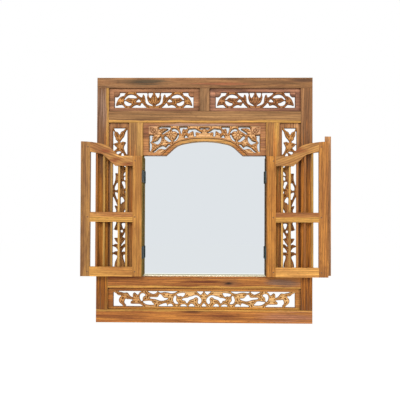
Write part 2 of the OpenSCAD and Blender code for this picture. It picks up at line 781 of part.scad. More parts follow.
module arch_panel() {
    color(carved_teak) from_foot() translate([0, 0, arch_flat]) difference() {
        carved_board(arch_y, arch_t) {
            difference() {
                translate([-half_open - groove_d, 0])
                    square([2 * (half_open + groove_d), arch_panel_h + groove_d]);
                translate([0, -arch_flat]) under_arch(0, arch_flat - 1);
            }
            arch_field_outline();
            union() {
                mirrored_cuts(arch_cuts());
                cuts(arch_middle_cuts());
            }
        }
        bead_groove();
    }
}

// ---------------------------------------------------------------------------
// Mirror, backing and hanging plates
// ---------------------------------------------------------------------------

module glass_sheet(y0, thick) {
    out_x = half_open + rebate_w - 1;
    block(-out_x, out_x, y0, y0 + thick, sill_top - rebate_w, transom_low + rebate_w - 1);
}

module mirror_glass() {
    color("#d9e0e6") from_foot() glass_sheet(glass_y, glass_t);
}

module mirror_backing() {
    color("#8a6a48") from_foot() glass_sheet(glass_y + glass_t, backing_t);
}

// Four strips, the upright ones over the full height and the others fitted between them
module backing_cleats() {
    y0 = glass_y + glass_t + backing_t;
    out_x = half_open + rebate_w;
    in_x = out_x - cleat_w - cleat_gap;
    low = sill_top - rebate_w;
    high = transom_low + rebate_w;
    color(dark_teak) from_foot() {
        on_both_sides() block(out_x - cleat_w, out_x, y0, 0, low, high);
        block(-in_x, in_x, y0, 0, low, low + cleat_w);
        block(-in_x, in_x, y0, 0, high - cleat_w, high);
    }
}

module hanger_plate(side) {
    color(zinc) on_side(side) difference() {
        keyhole_plate_blank();
        translate([keyhole_spacing / 2, 1, 0]) rotate([90, 0, 0]) {
            cylinder(r = keyhole_r, h = plate_t + 2);
            translate([-slot_r, 0, 0]) cube([2 * slot_r, slot_up, plate_t + 2]);
            translate([0, slot_up, 0]) cylinder(r = slot_r, h = plate_t + 2);
        }
        plate_screws();
    }
}

module hanger_screws() {
    color(zinc) plate_screws();
}

// ---------------------------------------------------------------------------
// Butt hinges, drawn closed on the right-hand jamb about the middle of their height
// ---------------------------------------------------------------------------

// Screw places on a leaf: height and distance from the front of the wood
function leaf_screw_places() =
    let (reach = hinge_h / 2 - 6)
    [[-reach, 7], [0, 12], [reach, 7]];

// A countersunk screw that points along +X from the face of a leaf
module hinge_screw(l) {
    rotate([0, 90, 0]) {
        cylinder(r1 = hinge_head_r, r2 = hinge_screw_r, h = leaf_t - 0.3);
        cylinder(r = hinge_screw_r, h = l);
    }
}

module frame_leaf_screws() {
    for (p = leaf_screw_places())
        translate([half_open, front_y + p.y, p.x]) hinge_screw(hinge_screw_l);
}

module shutter_leaf_screws() {
    for (p = leaf_screw_places())
        translate([edge_x, front_y + p.y, p.x]) mirror([1, 0, 0]) hinge_screw(hinge_screw_l);
}

module knuckle(index, web_x) {
    low = -hinge_h / 2 + index * (knuckle_h + knuckle_gap);
    translate([pin_x, pin_y, low]) cylinder(r = knuckle_r, h = knuckle_h);
    block(web_x, web_x + leaf_t, pin_y, front_y + 1, low, low + knuckle_h);
}

module pin_bore(r) {
    translate([pin_x, pin_y, -hinge_h / 2 - 1]) cylinder(r = r, h = hinge_h + 2);
}

module frame_leaf(side, h) {
    color(iron) from_foot() on_side(side) translate([0, 0, h]) difference() {
        union() {
            block(half_open, half_open + leaf_t, front_y, front_y + leaf_d, -hinge_h / 2, hinge_h / 2);
            for (i = [0:2:knuckles - 1]) knuckle(i, half_open);
        }
        pin_bore(pin_r);
        frame_leaf_screws();
    }
}

module shutter_leaf(side, h) {
    color(iron) from_foot() on_side(side) swung_open() translate([0, 0, h]) difference() {
        union() {
            block(edge_x - leaf_t, edge_x, front_y, front_y + leaf_d, -hinge_h / 2, hinge_h / 2);
            for (i = [1:2:knuckles - 1]) knuckle(i, edge_x - leaf_t);
        }
        pin_bore(pin_r + running);
        shutter_leaf_screws();
    }
}

module pin_head() {
    translate([0, 0, hinge_h / 2]) cylinder(r1 = knuckle_r - 0.4, r2 = knuckle_r - 1.2, h = pin_head_h);
}

module hinge_pin(side, h) {
    color(iron) from_foot() on_side(side) translate([pin_x, pin_y, h]) {
        translate([0, 0, -hinge_h / 2]) cylinder(r = pin_r, h = hinge_h);
        pin_head();
        mirror([0, 0, 1]) pin_head();
    }
}

module frame_hinge_screws() {
    color(iron) from_foot() on_both_sides()
        for (h = [low_hinge_at, high_hinge_at]) translate([0, 0, h]) frame_leaf_screws();
}

module shutter_hinge_screws(side) {
    color(iron) from_foot() on_side(side) swung_open()
        for (h = [low_hinge_at, high_hinge_at]) translate([0, 0, h]) shutter_leaf_screws();
}

// ---------------------------------------------------------------------------
// Shutters, drawn closed on the right-hand side
// ---------------------------------------------------------------------------

low_inset = top_gap + shutter_top_h;
side_top = arch_flat - top_gap;

// What lies under the inset arch line, from the middle out to x
module half_under_arch(inset, x) {
    base = arch_flat - inset;
    polygon(concat(
        [[0, foot_h], middle_arc(0, inset)],
        half_arch(inset, base),
        [[x, base], [x, foot_h]]
    ));
}

module shutter_outline() {
    half_under_arch(top_gap, edge_x);
}

module shutter_light() {
    half_under_arch(low_inset, inner_x1);
}

// A rail's tenon runs into the stile beside it. way is 1 at the hinge and -1 at the meeting edge.
module rail_tenon(way, h0, h1) {
    x0 = way == 1 ? inner_x1 : inner_x0 - rail_tenon_l;
    y0 = front_y + (shutter_t - rail_tenon_t) / 2;
    block(x0, x0 + rail_tenon_l, y0, y0 + rail_tenon_t, h0, h1);
}

function mid_low() = foot_h + mid_rail_at;
function hinge_tenon_top() = side_top - 5;
function meeting_tenon_top() = arch_height(inner_x0, top_gap) - 5;

module shutter_tenons(way) {
    top = way == 1 ? hinge_tenon_top() : meeting_tenon_top();
    rail_tenon(way, foot_h + 5, foot_h + shutter_bottom_h - 5);
    rail_tenon(way, mid_low() + 5, mid_low() + mid_rail_h - 5);
    rail_tenon(way, top - 22, top);
}

module shutter_peg_solids() {
    for (way = [-1, 1]) {
        x = way == 1 ? inner_x1 + peg_inset : inner_x0 - peg_inset;
        top = way == 1 ? hinge_tenon_top() : meeting_tenon_top();
        for (h = [foot_h + shutter_bottom_h / 2, mid_low() + mid_rail_h / 2, top - 11])
            rod_to_wall(x, h, front_y, shutter_back_y, shutter_peg_r);
    }
}

function bar_x(i) = inner_x0 + i * bar_pitch - bar_w / 2;
function bar_head(i) =
    max(arch_height(bar_x(i) + bar_w / 2, low_inset), arch_flat - low_inset) + bar_seat;

module bar_solid(i) {
    foot = foot_h + shutter_bottom_h - bar_seat;
    translate([bar_x(i), front_y + shutter_t / 2, foot])
        linear_extrude(bar_head(i) - foot)
            offset(r = 1.2, $fn = 16) square([bar_w - 2.4, bar_t - 2.4], center = true);
}

module all_bars() {
    for (i = [1:bars]) bar_solid(i);
}

module hinge_stile(side) {
    color(golden_teak) from_foot() on_side(side) swung_open() difference() {
        block(inner_x1, edge_x, front_y, shutter_back_y, foot_h, side_top);
        shutter_tenons(1);
        shutter_peg_solids();
        for (h = [low_hinge_at, high_hinge_at]) {
            leaf_recess(edge_x - leaf_t, edge_x + 1, h);
            translate([0, 0, h]) shutter_leaf_screws();
        }
    }
}

module meeting_stile(side) {
    color(teak) from_foot() on_side(side) swung_open() difference() {
        upright(front_y, shutter_t) intersection() {
            shutter_outline();
            translate([meet_x, foot_h]) square([shutter_stile_w, frame_h]);
        }
        shutter_tenons(-1);
        shutter_peg_solids();
    }
}

module shutter_top_rail(side) {
    color(golden_teak) from_foot() on_side(side) swung_open() difference() {
        union() {
            upright(front_y, shutter_t) intersection() {
                difference() {
                    shutter_outline();
                    shutter_light();
                }
                translate([inner_x0, arch_flat - low_inset]) square([inner_x1 - inner_x0, frame_h]);
            }
            intersection() {
                union() {
                    shutter_tenons(1);
                    shutter_tenons(-1);
                }
                block(0, half_open, front_y, 0, arch_flat - low_inset, frame_h);
            }
        }
        all_bars();
        shutter_peg_solids();
    }
}

module shutter_rail(side, h0, h1) {
    color(golden_teak) from_foot() on_side(side) swung_open() difference() {
        union() {
            block(inner_x0, inner_x1, front_y, shutter_back_y, h0, h1);
            for (way = [-1, 1]) rail_tenon(way, h0 + 5, h1 - 5);
        }
        all_bars();
        shutter_peg_solids();
    }
}

module shutter_mid_rail(side) {
    shutter_rail(side, mid_low(), mid_low() + mid_rail_h);
}

module shutter_bottom_rail(side) {
    shutter_rail(side, foot_h, foot_h + shutter_bottom_h);
}

module shutter_bar(side, i) {
    color(golden_teak) from_foot() on_side(side) swung_open() bar_solid(i);
}

module shutter_pegs(side) {
    color(dark_teak) from_foot() on_side(side) swung_open() shutter_peg_solids();
}

// The astragal is a cover strip on the outer face. Its free edge laps over the left shutter.
module right_shutter_astragal() {
    x0 = meet_x - astragal_lap;
    top = arch_height(meet_x, top_gap) + astragal_rise;
    color(dark_teak) from_foot() swung_open() difference() {
        block(x0, x0 + astragal_w, front_y - astragal_t, front_y, foot_h + astragal_foot, top);
        block(x0 - 1, meet_x - meeting_gap / 2, front_y - astragal_relief, front_y + 1, foot_h, top + 1);
    }
}

// ---------------------------------------------------------------------------
// One line for each node
// ---------------------------------------------------------------------------

top_rail();
bottom_rail();
stile(left);  // left_stile
stile(right);  // right_stile
transom_rail();
sill_rail();
jamb(left);  // left_jamb
jamb(right);  // right_jamb
top_mullion();
upper_panel(left);  // upper_left_panel
upper_panel(right);  // upper_right_panel
side_panel(left);  // left_side_panel
side_panel(right);  // right_side_panel
arch_panel();
bottom_panel();
mirror_glass();
mirror_backing();
backing_cleats();
hanger_plate(left);  // left_hanger_plate
hanger_plate(right);  // right_hanger_plate
hanger_screws();
frame_pegs();
frame_leaf(left, high_hinge_at);  // left_upper_frame_leaf
frame_leaf(left, low_hinge_at);  // left_lower_frame_leaf
frame_leaf(right, high_hinge_at);  // right_upper_frame_leaf
frame_leaf(right, low_hinge_at);  // right_lower_frame_leaf
hinge_pin(left, high_hinge_at);  // left_upper_hinge_pin
hinge_pin(left, low_hinge_at);  // left_lower_hinge_pin
hinge_pin(right, high_hinge_at);  // right_upper_hinge_pin
hinge_pin(right, low_hinge_at);  // right_lower_hinge_pin
frame_hinge_screws();
shutter_leaf(left, high_hinge_at);  // left_upper_shutter_leaf
shutter_leaf(left, low_hinge_at);  // left_lower_shutter_leaf
shutter_leaf(right, high_hinge_at);  // right_upper_shutter_leaf
shutter_leaf(right, low_hinge_at);  // right_lower_shutter_leaf
shutter_hinge_screws(left);  // left_hinge_screws
shutter_hinge_screws(right);  // right_hinge_screws
hinge_stile(left);  // left_hinge_stile
meeting_stile(left);  // left_meeting_stile
shutter_top_rail(left);  // left_shutter_top_rail
shutter_mid_rail(left);  // left_shutter_mid_rail
shutter_bottom_rail(left);  // left_shutter_bottom_rail
shutter_bar(left, 1);  // left_bar_1
shutter_bar(left, 2);  // left_bar_2
shutter_bar(left, 3);  // left_bar_3
shutter_bar(left, 4);  // left_bar_4
shutter_bar(left, 5);  // left_bar_5
shutter_pegs(left);  // left_shutter_pegs
hinge_stile(right);  // right_hinge_stile
meeting_stile(right);  // right_meeting_stile
shutter_top_rail(right);  // right_shutter_top_rail
shutter_mid_rail(right);  // right_shutter_mid_rail
shutter_bottom_rail(right);  // right_shutter_bottom_rail
shutter_bar(right, 1);  // right_bar_1
shutter_bar(right, 2);  // right_bar_2
shutter_bar(right, 3);  // right_bar_3
shutter_bar(right, 4);  // right_bar_4
shutter_bar(right, 5);  // right_bar_5
shutter_pegs(right);  // right_shutter_pegs
right_shutter_astragal();
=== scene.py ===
# %% [markdown]
# # A teak wall mirror with two barred shutters
# The real thing is a mirror in a frame of old teak. Pierced and carved panels stand above, below
# and beside the glass, and two small shutters swing on iron butt hinges in front of it. The
# construction arrives as a finished frame of solids in metres, so this lesson is about looks: wood
# that runs the right way in every board, edges softened by a plane and by wear, carving with real
# depth, and iron, glass and zinc.

# %% Load the frame
import json
import math
import bmesh
import bpy
from mathutils import Matrix, Vector, kdtree


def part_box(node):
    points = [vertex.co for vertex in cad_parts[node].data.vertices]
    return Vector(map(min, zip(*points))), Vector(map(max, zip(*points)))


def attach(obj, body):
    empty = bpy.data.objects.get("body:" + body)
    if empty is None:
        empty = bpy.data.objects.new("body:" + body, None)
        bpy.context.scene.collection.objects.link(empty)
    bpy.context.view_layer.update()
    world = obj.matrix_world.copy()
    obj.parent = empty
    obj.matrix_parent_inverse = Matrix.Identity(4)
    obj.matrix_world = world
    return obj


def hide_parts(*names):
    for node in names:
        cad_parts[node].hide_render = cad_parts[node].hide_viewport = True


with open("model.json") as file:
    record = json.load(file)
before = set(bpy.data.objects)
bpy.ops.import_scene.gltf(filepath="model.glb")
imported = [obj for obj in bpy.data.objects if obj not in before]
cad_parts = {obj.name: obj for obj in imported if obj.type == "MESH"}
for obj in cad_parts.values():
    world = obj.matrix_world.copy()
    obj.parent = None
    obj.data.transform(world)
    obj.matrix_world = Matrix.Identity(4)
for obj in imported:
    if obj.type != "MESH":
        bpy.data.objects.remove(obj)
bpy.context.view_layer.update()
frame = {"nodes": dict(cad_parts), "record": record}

nodes = frame["nodes"]
scene = bpy.context.scene
print("pieces in the frame:", len(nodes))

# %% [markdown]
# ## Sizes that the rest is worked out from
# Millimetres are what a joiner thinks in and metres are what Blender wants, so one constant turns
# the one into the other. Heights are counted from the foot of the frame, which is read from the
# solids.

# %% Measures
MM = 0.001
foot_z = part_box("bottom_rail")[0][2]
print("foot of the frame at", round(foot_z / MM), "mm")


def height(mm):
    """Z of a place so many millimetres above the foot of the frame."""
    return foot_z + mm * MM


def foot_mm(mm):
    """The same Z, in millimetres."""
    return height(mm) / MM


# %% [markdown]
# ## Colours
# Colours are written as they look on a screen. Nodes work with linear light, so one function does
# the turning for every colour in the file.

# %% Colour helper
def srgb(hexa):
    """A hex colour as linear red, green, blue and an alpha of one."""
    parts = [int(hexa[i:i + 2], 16) / 255 for i in (1, 3, 5)]
    return (*[c / 12.92 if c <= 0.04045 else ((c + 0.055) / 1.055) ** 2.4 for c in parts], 1.0)


# %% [markdown]
# One more helper adds a node, sets it up and links it. An input that is given a socket is linked,
# and any other input is given its value.

# %% Node helper
def add(tree, kind, inputs=None, **settings):
    """Adds a node of that kind with its settings and its inputs, by name or by number."""
    node = tree.nodes.new("ShaderNode" + kind)
    for name, value in settings.items():
        setattr(node, name, value)
    for key, value in (inputs or {}).items():
        if isinstance(value, bpy.types.NodeSocket):
            tree.links.new(value, node.inputs[key])
        else:
            node.inputs[key].default_value = value
    return node


def new_material(name):
    """An empty node material and its tree."""
    material = bpy.data.materials.new(name)
    material.use_nodes = True
    material.node_tree.nodes.clear()
    return material, material.node_tree


def paint(piece, material):
    """Gives the whole piece one material."""
    piece.data.materials.clear()
    piece.data.materials.append(material)


# %% [markdown]
# ## The camera
# The photograph was taken from two and a half metres, a little to the right of the middle and
# below the middle of the frame. The lens is a short telephoto. The small turn, pitch and roll are
# those at which the edges of the frame fall where the photograph has them.

# %% Camera
camera_distance = 2.5
camera_x = 50 * MM
camera_h = 350
turn, pitch, roll = math.radians(1.48), math.radians(1.16), math.radians(0.22)

camera_data = bpy.data.cameras.new("camera")
camera_data.sensor_width = 36
camera_data.lens = 68
camera = bpy.data.objects.new("camera", camera_data)
scene.collection.objects.link(camera)
camera.matrix_world = (
    Matrix.Translation((camera_x, -camera_distance, height(camera_h)))
    @ Matrix.Rotation(turn, 4, "Z")
    @ Matrix.Rotation(math.pi / 2 + pitch, 4, "X")
    @ Matrix.Rotation(roll, 4, "Z")
)
scene.camera = camera
print("camera sees", round(math.degrees(camera_data.angle), 1), "degrees")

# %% [markdown]
# ## Sky
# The background of the photograph is white. A brighter lamp would wash out the wood, so the world
# itself is white, but only to the camera and to what is mirrored, and it lights the wood at a plain
# level. Light Path tells the two kinds of ray apart.

# %% World
def white_to_the_eye(tree):
    """One where a ray comes from the camera, a reflection or a view through glass, else zero."""
    path = add(tree, "LightPath")
    first = add(tree, "Math", {0: path.outputs["Is Camera Ray"], 1: path.outputs["Is Glossy Ray"]},
                operation="MAXIMUM")
    return add(tree, "Math", {0: first.outputs[0], 1: path.outputs["Is Transmission Ray"]},
               operation="MAXIMUM").outputs[0]


scene.view_settings.view_transform = "Standard"
ambient = 0.62
world = bpy.data.worlds.new("studio")
world.use_nodes = True
scene.world = world
sky = world.node_tree
sky.nodes.clear()
level = add(sky, "MapRange", {"Value": white_to_the_eye(sky), "To Min": ambient, "To Max": 1.0})
background = add(sky, "Background", {"Color": srgb("#ffffff"), "Strength": level.outputs[0]})
add(sky, "OutputWorld", {"Surface": background.outputs[0]})

# %% [markdown]
# ## Floor
# The mirror hangs on a wall, so the floor is as far below it as in a room. It is a plain matt plane
# that takes the shadow, and a little glow that only the eye sees keeps it as white as the sky.

# %% Floor
hanging_height = 0.9
floor_glow = 0.44


def floor_paint():
    """Matt emulsion on a studio floor: no gloss at all, so nothing is mirrored in it."""
    material, tree = new_material("matt_white_floor")
    matt = add(tree, "BsdfDiffuse", {"Color": srgb("#f4f4f3")})
    eye = add(tree, "Math", {0: white_to_the_eye(tree), 1: floor_glow}, operation="MULTIPLY")
    glow = add(tree, "Emission", {"Color": srgb("#ffffff"), "Strength": eye.outputs[0]})
    both = add(tree, "AddShader", {0: matt.outputs[0], 1: glow.outputs[0]})
    add(tree, "OutputMaterial", {"Surface": both.outputs[0]})
    return material


floor_mesh = bmesh.new()
bmesh.ops.create_grid(floor_mesh, x_segments=1, y_segments=1, size=30,
                      matrix=Matrix.Translation((0, 0, foot_z - hanging_height)))
floor_data = bpy.data.meshes.new("floor")
floor_mesh.to_mesh(floor_data)
floor_mesh.free()
floor = bpy.data.objects.new("floor", floor_data)
scene.collection.objects.link(floor)
paint(floor, floor_paint())
print("floor at", round(1000 * (foot_z - hanging_height)), "mm")

# %% [markdown]
# ## Lamps
# Two large soft lamps stand near the camera, the stronger one above and to the left. Large lamps
# give soft edges, and lamps near the camera give the short shadows of the photograph, under the top
# rail and beside the panels. Neither can be seen in the glass from the front. A third lights the
# back, for whoever turns the mirror round.

# %% Lamps
def lamp(name, place, size, power, warmth):
    """A square area lamp that faces the middle of the mirror."""
    data = bpy.data.lights.new(name, "AREA")
    data.size = size
    data.energy = power
    data.color = srgb(warmth)[:3]
    piece = bpy.data.objects.new(name, data)
    scene.collection.objects.link(piece)
    way = Vector((0, 0, height(400))) - Vector(place)
    piece.matrix_world = Matrix.Translation(place) @ way.to_track_quat("-Z", "Y").to_matrix().to_4x4()


lamp("key", (-0.5, -2.5, 0.85), 1.3, 44, "#fff8ee")
lamp("fill", (2.0, -2.4, 0.3), 1.6, 22, "#f6f9ff")
lamp("back", (0.6, 2.6, 1.2), 1.6, 40, "#ffffff")

# %% [markdown]
# ## Teak
# Old teak is golden brown with darker growth lines, and it lies in long streaks: a pattern that is
# short across the grain and very long along it. Each board is cut from its own place in a tree, so
# each gets its own material with its own start point. The grain must follow the board, along X in
# rails and along Z in stiles, and only then does a frame look joined instead of printed. In the
# shaped rails of the shutters it slopes with the rail.
#
# Object coordinates are used because they are real metres: a growth ring of seven millimetres is
# seven millimetres in every board.

# %% Grain coordinates
def place_in_tree(seed):
    """Where a board starts in the pattern, in metres. Boards with different seeds lie far apart."""
    return tuple(step * seed for step in (1.7, 0.31, 0.53))


def grain_spots(tree, space, along, across, detail=3.0, wobble=0.0):
    """Noise stretched along the grain. along and across are the size of its spots in millimetres."""
    stretch = add(tree, "Mapping", {"Vector": space, "Scale": (
        1 / (along * MM), 1 / (across * MM), 1 / (across * MM))})
    return add(tree, "TexNoise", {"Vector": stretch.outputs[0], "Scale": 1.0, "Detail": detail,
                                  "Roughness": 0.55, "Distortion": wobble}).outputs["Fac"]


def grain_space(tree, along, seed, slope=0):
    """The object's coordinates, and those of a tree whose X runs along the board's grain."""
    coordinates = add(tree, "TexCoord").outputs["Object"]
    turned = (0, math.radians(slope + (90 if along == "Z" else 0)), 0)
    board = add(tree, "Mapping", {"Vector": coordinates, "Rotation": turned,
                                  "Location": place_in_tree(seed)})
    return coordinates, board.outputs[0]


# %% [markdown]
# The growth lines are rings round a pith that lies behind the board. The board leans a little
# against the tree's axis, which draws the long pointed arches of a plain-sawn face. Each board gets a
# pith and a lean of its own, worked out from its number with sines, so they are the same in every
# run.

# %% Growth rings
def growth_rings(tree, space, seed, spacing):
    """0 to 1 across each growth ring. spacing is the width of a ring in millimetres."""
    lean = math.radians(2.5 + 1.5 * math.sin(5 * seed))
    side = math.radians(1.2 * math.sin(3 * seed))
    pith = (0, -0.05 - 0.02 * math.sin(7 * seed), 0.03 * math.sin(11 * seed))
    back = tuple(-step for step in place_in_tree(seed))
    centred = add(tree, "Mapping", {"Vector": space, "Location": back})
    tree_space = add(tree, "Mapping", {"Vector": centred.outputs[0], "Location": pith,
                                       "Rotation": (0, side, lean)})
    # At a scale of 1, Blender's rings are a twentieth of two pi apart
    scale = 2 * math.pi / (20 * spacing * MM)
    return add(tree, "TexWave", {"Vector": tree_space.outputs[0], "Scale": scale, "Distortion": 5.0,
                                 "Detail": 2.0, "Detail Scale": 0.12},
               wave_type="RINGS", rings_direction="X", wave_profile="SIN").outputs["Fac"]


# %% [markdown]
# The colour of a board is built like a picture, in layers. Each layer is a share, which says where
# it covers, a colour, and the way it is laid on. A board starts from its dark tone. Over that come
# bands of its light tone, and shorter tongues of the redder heart.

# %% Bands and heartwood
def board_tones(tree, space, light, heart, hearts, bands):
    """Layers: bands of the light tone, whose length and width differ, and tongues of heartwood."""
    broad = grain_spots(tree, space, *bands, 3.0, 0.6)
    tone = add(tree, "MapRange", {"Value": broad, "From Min": 0.38, "From Max": 0.62})
    tongues = grain_spots(tree, space, 230, 11, 4.0, 1.0)
    core = add(tree, "MapRange", {"Value": tongues, "From Min": 0.5, "From Max": 0.66,
                                  "To Min": 0.0, "To Max": hearts})
    return [(tone.outputs[0], srgb(light), "MIX"), (core.outputs[0], srgb(heart), "MIX")]


# %% [markdown]
# Sapwood is the pale yellow wood from under the bark. It shows as a narrow band along one edge of a
# board, so it lies between two coordinates, and a slow noise makes its edge wander. The same band
# also draws painted highlights, where an inner edge of a board catches the light.

# %% Sapwood and painted highlights
SAP_AND_LIT_EDGE = "#cf9a4a"
soft_edge = 1.5 * MM


def sap_and_lit_band(tree, coordinates, low, high, axis):
    """The share of a pale band between two coordinates in millimetres, for sapwood and for painted
    highlights.
    """
    wander = add(tree, "TexNoise", {"Vector": coordinates, "Scale": 14.0, "Detail": 2.0})
    offset = add(tree, "MapRange", {"Value": wander.outputs["Fac"], "From Min": 0.3, "From Max": 0.7,
                                    "To Min": -2.5 * MM, "To Max": 2.5 * MM})
    place = add(tree, "SeparateXYZ", {0: coordinates}).outputs[axis]
    moved = add(tree, "Math", {0: place, 1: offset.outputs[0]}, operation="ADD")
    away = add(tree, "Math", {0: moved.outputs[0], 1: (low + high) / 2 * MM}, operation="SUBTRACT")
    size = add(tree, "Math", {0: away.outputs[0]}, operation="ABSOLUTE")
    half = (high - low) / 2 * MM
    return add(tree, "MapRange", {"Value": size.outputs[0], "From Min": half - soft_edge,
                                  "From Max": half + soft_edge, "To Min": 0.85, "To Max": 0.0},
               interpolation_type="SMOOTHSTEP").outputs[0]


# %% [markdown]
# Flames of heartwood and knots are long patches. Each is an ellipse at its own place on the board,
# and the streaks are added to the distance from its middle, so that its rim frays along the grain.
# The same patch also serves where a part of a board is paler or redder than the rest, and for
# painted light and painted highlights on some boards.

# %% Flames and knots
def flame(tree, coordinates, streak, x, z, wide, high):
    """One in the middle of a patch that lies at x and z, in millimetres, and frays into streaks."""
    centred = add(tree, "Mapping", {"Vector": coordinates,
                                    "Location": (-x * MM, 0, -z * MM - foot_z)})
    shaped = add(tree, "Mapping", {"Vector": centred.outputs[0], "Scale": (
        1 / (wide * MM), 0, 1 / (high * MM))})
    away = add(tree, "VectorMath", {0: shaped.outputs[0]}, operation="LENGTH").outputs["Value"]
    frayed = add(tree, "MapRange", {"Value": streak, "From Min": 0.3, "From Max": 0.7,
                                    "To Min": 0.45, "To Max": -0.45})
    edge = add(tree, "Math", {0: away, 1: frayed.outputs[0]}, operation="ADD")
    return add(tree, "MapRange", {"Value": edge.outputs[0], "From Min": 0.2, "From Max": 1.0,
                                  "To Min": 1.0, "To Max": 0.0},
               interpolation_type="SMOOTHSTEP").outputs[0]


# %% [markdown]
# The carved field has three tones of its own: an orange where the gouge has opened fresh wood, a
# lighter gold on the crests, partly rubbed by hands and partly a painted highlight where they catch
# the light, and a dark brown in the hollows, veins and rims, partly wax and partly painted shade. The
# carving leaves three attributes on the mesh that say where each of them lies.

# %% Tones of the carving
def opened_tones(tree, field, rubbed_and_lit):
    """Layers: the opened field, and the crests over it, rubbed and lit by a painted highlight."""
    opened = add(tree, "Attribute", attribute_name="carving").outputs["Fac"]
    crest = add(tree, "Attribute", attribute_name="crest").outputs["Fac"]
    worn_and_lit = add(tree, "MapRange", {"Value": crest, "From Min": 0.3, "From Max": 0.9,
                                  "To Min": 0.0, "To Max": 0.9})
    return [(opened, srgb(field), "MIX"), (worn_and_lit.outputs[0], srgb(rubbed_and_lit), "MIX")]


def wax_and_shade_tone(tree, wax_and_shade):
    """A layer: dark wax and painted shade in hollows and along rims."""
    stain_and_shade = add(tree, "Attribute", attribute_name="stain_and_shade").outputs["Fac"]
    deep = add(tree, "MapRange", {"Value": stain_and_shade, "From Min": 0.1, "From Max": 0.9,
                                  "To Min": 0.0, "To Max": 0.9})
    return (deep.outputs[0], srgb(wax_and_shade), "MIX")


# %% [markdown]
# Growth lines, streaks and fibres darken or lighten whatever tone lies under them, so the three are
# multiplied together and the layer is laid on by multiplying.

# %% Lines, streaks and fibres
def grain_lines(tree, ring, streak, fibre, streaks):
    """A layer: what the growth lines, streaks and fibres do to the tones under them."""
    lines = add(tree, "MapRange", {"Value": ring, "From Min": 0.5, "From Max": 1.0,
                                   "To Min": 1.0, "To Max": 0.72})
    soft = add(tree, "MapRange", {"Value": streak, "From Min": 0.34, "From Max": 0.66,
                                  "To Min": streaks[0], "To Max": streaks[1]})
    fine = add(tree, "MapRange", {"Value": fibre, "From Min": 0.3, "From Max": 0.7,
                                  "To Min": 0.82, "To Max": 1.14})
    both = add(tree, "Math", {0: lines.outputs[0], 1: soft.outputs[0]}, operation="MULTIPLY")
    every = add(tree, "Math", {0: both.outputs[0], 1: fine.outputs[0]}, operation="MULTIPLY")
    return (1.0, every.outputs[0], "MULTIPLY")


# %% [markdown]
# The whole material lays these layers over each other. Last come the pores, and then the inner
# corners, which the Ambient Occlusion node finds from the shape itself and darkens: painted shade
# together with old wax and dust.
# The finish is wax, not varnish: satin, a little duller where the wood is darker, and the fibres and
# pores are felt as a fine bump.
#
# Of the settings, rings is the width of a growth ring in millimetres, bands the length and width of
# the light bands, and streaks how much the streaks darken and lighten. The rest are shares or tones.

# %% The teak material
# This dark brown fills the open pores, and it darkens the inner corners as painted shade with old
# dust.
GRIME_AND_SHADE = "#3a1f0c"


def teak(name, along, light, dark, heart, seed, hearts=0.6, rings=7.0, bands=(480, 22),
         streaks=(0.7, 1.2), sap_and_lit_edges=(), flames=(), shade_patches=(), corner_grime_and_shade=0.8, roughness=0.46, shine=0.2,
         carved=None, slope=0):
    """Waxed teak: gold and brown bands with a redder heart, fine dark lines, open pores, satin."""
    material, tree = new_material("waxed_teak_" + name)
    coordinates, space = grain_space(tree, along, seed, slope)
    streak = grain_spots(tree, space, 150, 4.5, 4.0, 0.3)
    # Fibres and pores are 0.1 to 0.3 mm wide on the real wood, drawn coarser so that they show
    fibre = grain_spots(tree, space, 45, 1.1, 3.0)
    pores = grain_spots(tree, space, 16, 0.9, 1.0)
    open_pore = add(tree, "MapRange", {"Value": pores, "From Min": 0.6, "From Max": 0.7,
                                       "To Min": 0.0, "To Max": 0.55})
    # Painted shade, with some old wax and dust: inner corners darken where the Ambient Occlusion node
    # finds them.
    corner = add(tree, "AmbientOcclusion", {"Distance": 9 * MM}, samples=6)
    corner_shade = add(tree, "MapRange", {"Value": corner.outputs["AO"], "From Min": 0.2, "From Max": 0.85,
                                  "To Min": corner_grime_and_shade, "To Max": 0.0})

    layers = board_tones(tree, space, light, heart, hearts, bands)
    # Pale bands: sapwood, and painted highlights along lit edges.
    layers += [(sap_and_lit_band(tree, coordinates, *place), srgb(SAP_AND_LIT_EDGE), "MIX") for place in sap_and_lit_edges]
    # Flames: heartwood and knots, and on some boards painted light.
    layers += [(flame(tree, coordinates, streak, *place), srgb(shade), "MIX")
               for shade, *place in flames]
    if carved:
        layers += opened_tones(tree, carved["field"], carved["rubbed_and_lit"])
    # Shade patches multiply the colour darker; on the side panels and at the foot they are painted
    # shade.
    layers += [(flame(tree, coordinates, streak, *place), srgb(shade), "MULTIPLY")
               for shade, *place in shade_patches]
    layers.append(grain_lines(tree, growth_rings(tree, space, seed, rings), streak, fibre, streaks))
    layers.append((open_pore.outputs[0], srgb(GRIME_AND_SHADE), "MIX"))
    if carved:
        layers.append(wax_and_shade_tone(tree, carved["wax_and_shade"]))
    layers.append((corner_shade.outputs[0], srgb(GRIME_AND_SHADE), "MIX"))
    colour = srgb(dark)
    for share, shade, way in layers:
        colour = add(tree, "Mix", {0: share, 6: colour, 7: shade}, data_type="RGBA",
                     blend_type=way).outputs[2]

    relief = add(tree, "Math", {0: fibre, 1: open_pore.outputs[0]}, operation="SUBTRACT")
    bump = add(tree, "Bump", {"Height": relief.outputs[0], "Strength": 0.4, "Distance": 0.4 * MM})
    rough = add(tree, "MapRange", {"Value": streak, "From Min": 0.3, "From Max": 0.7,
                                   "To Min": roughness + 0.12, "To Max": roughness - 0.04})
    wood = add(tree, "BsdfPrincipled", {"Base Color": colour, "Roughness": rough.outputs[0],
                                        "Normal": bump.outputs[0], "Specular IOR Level": shine})
    add(tree, "OutputMaterial", {"Surface": wood.outputs[0]})
    return material


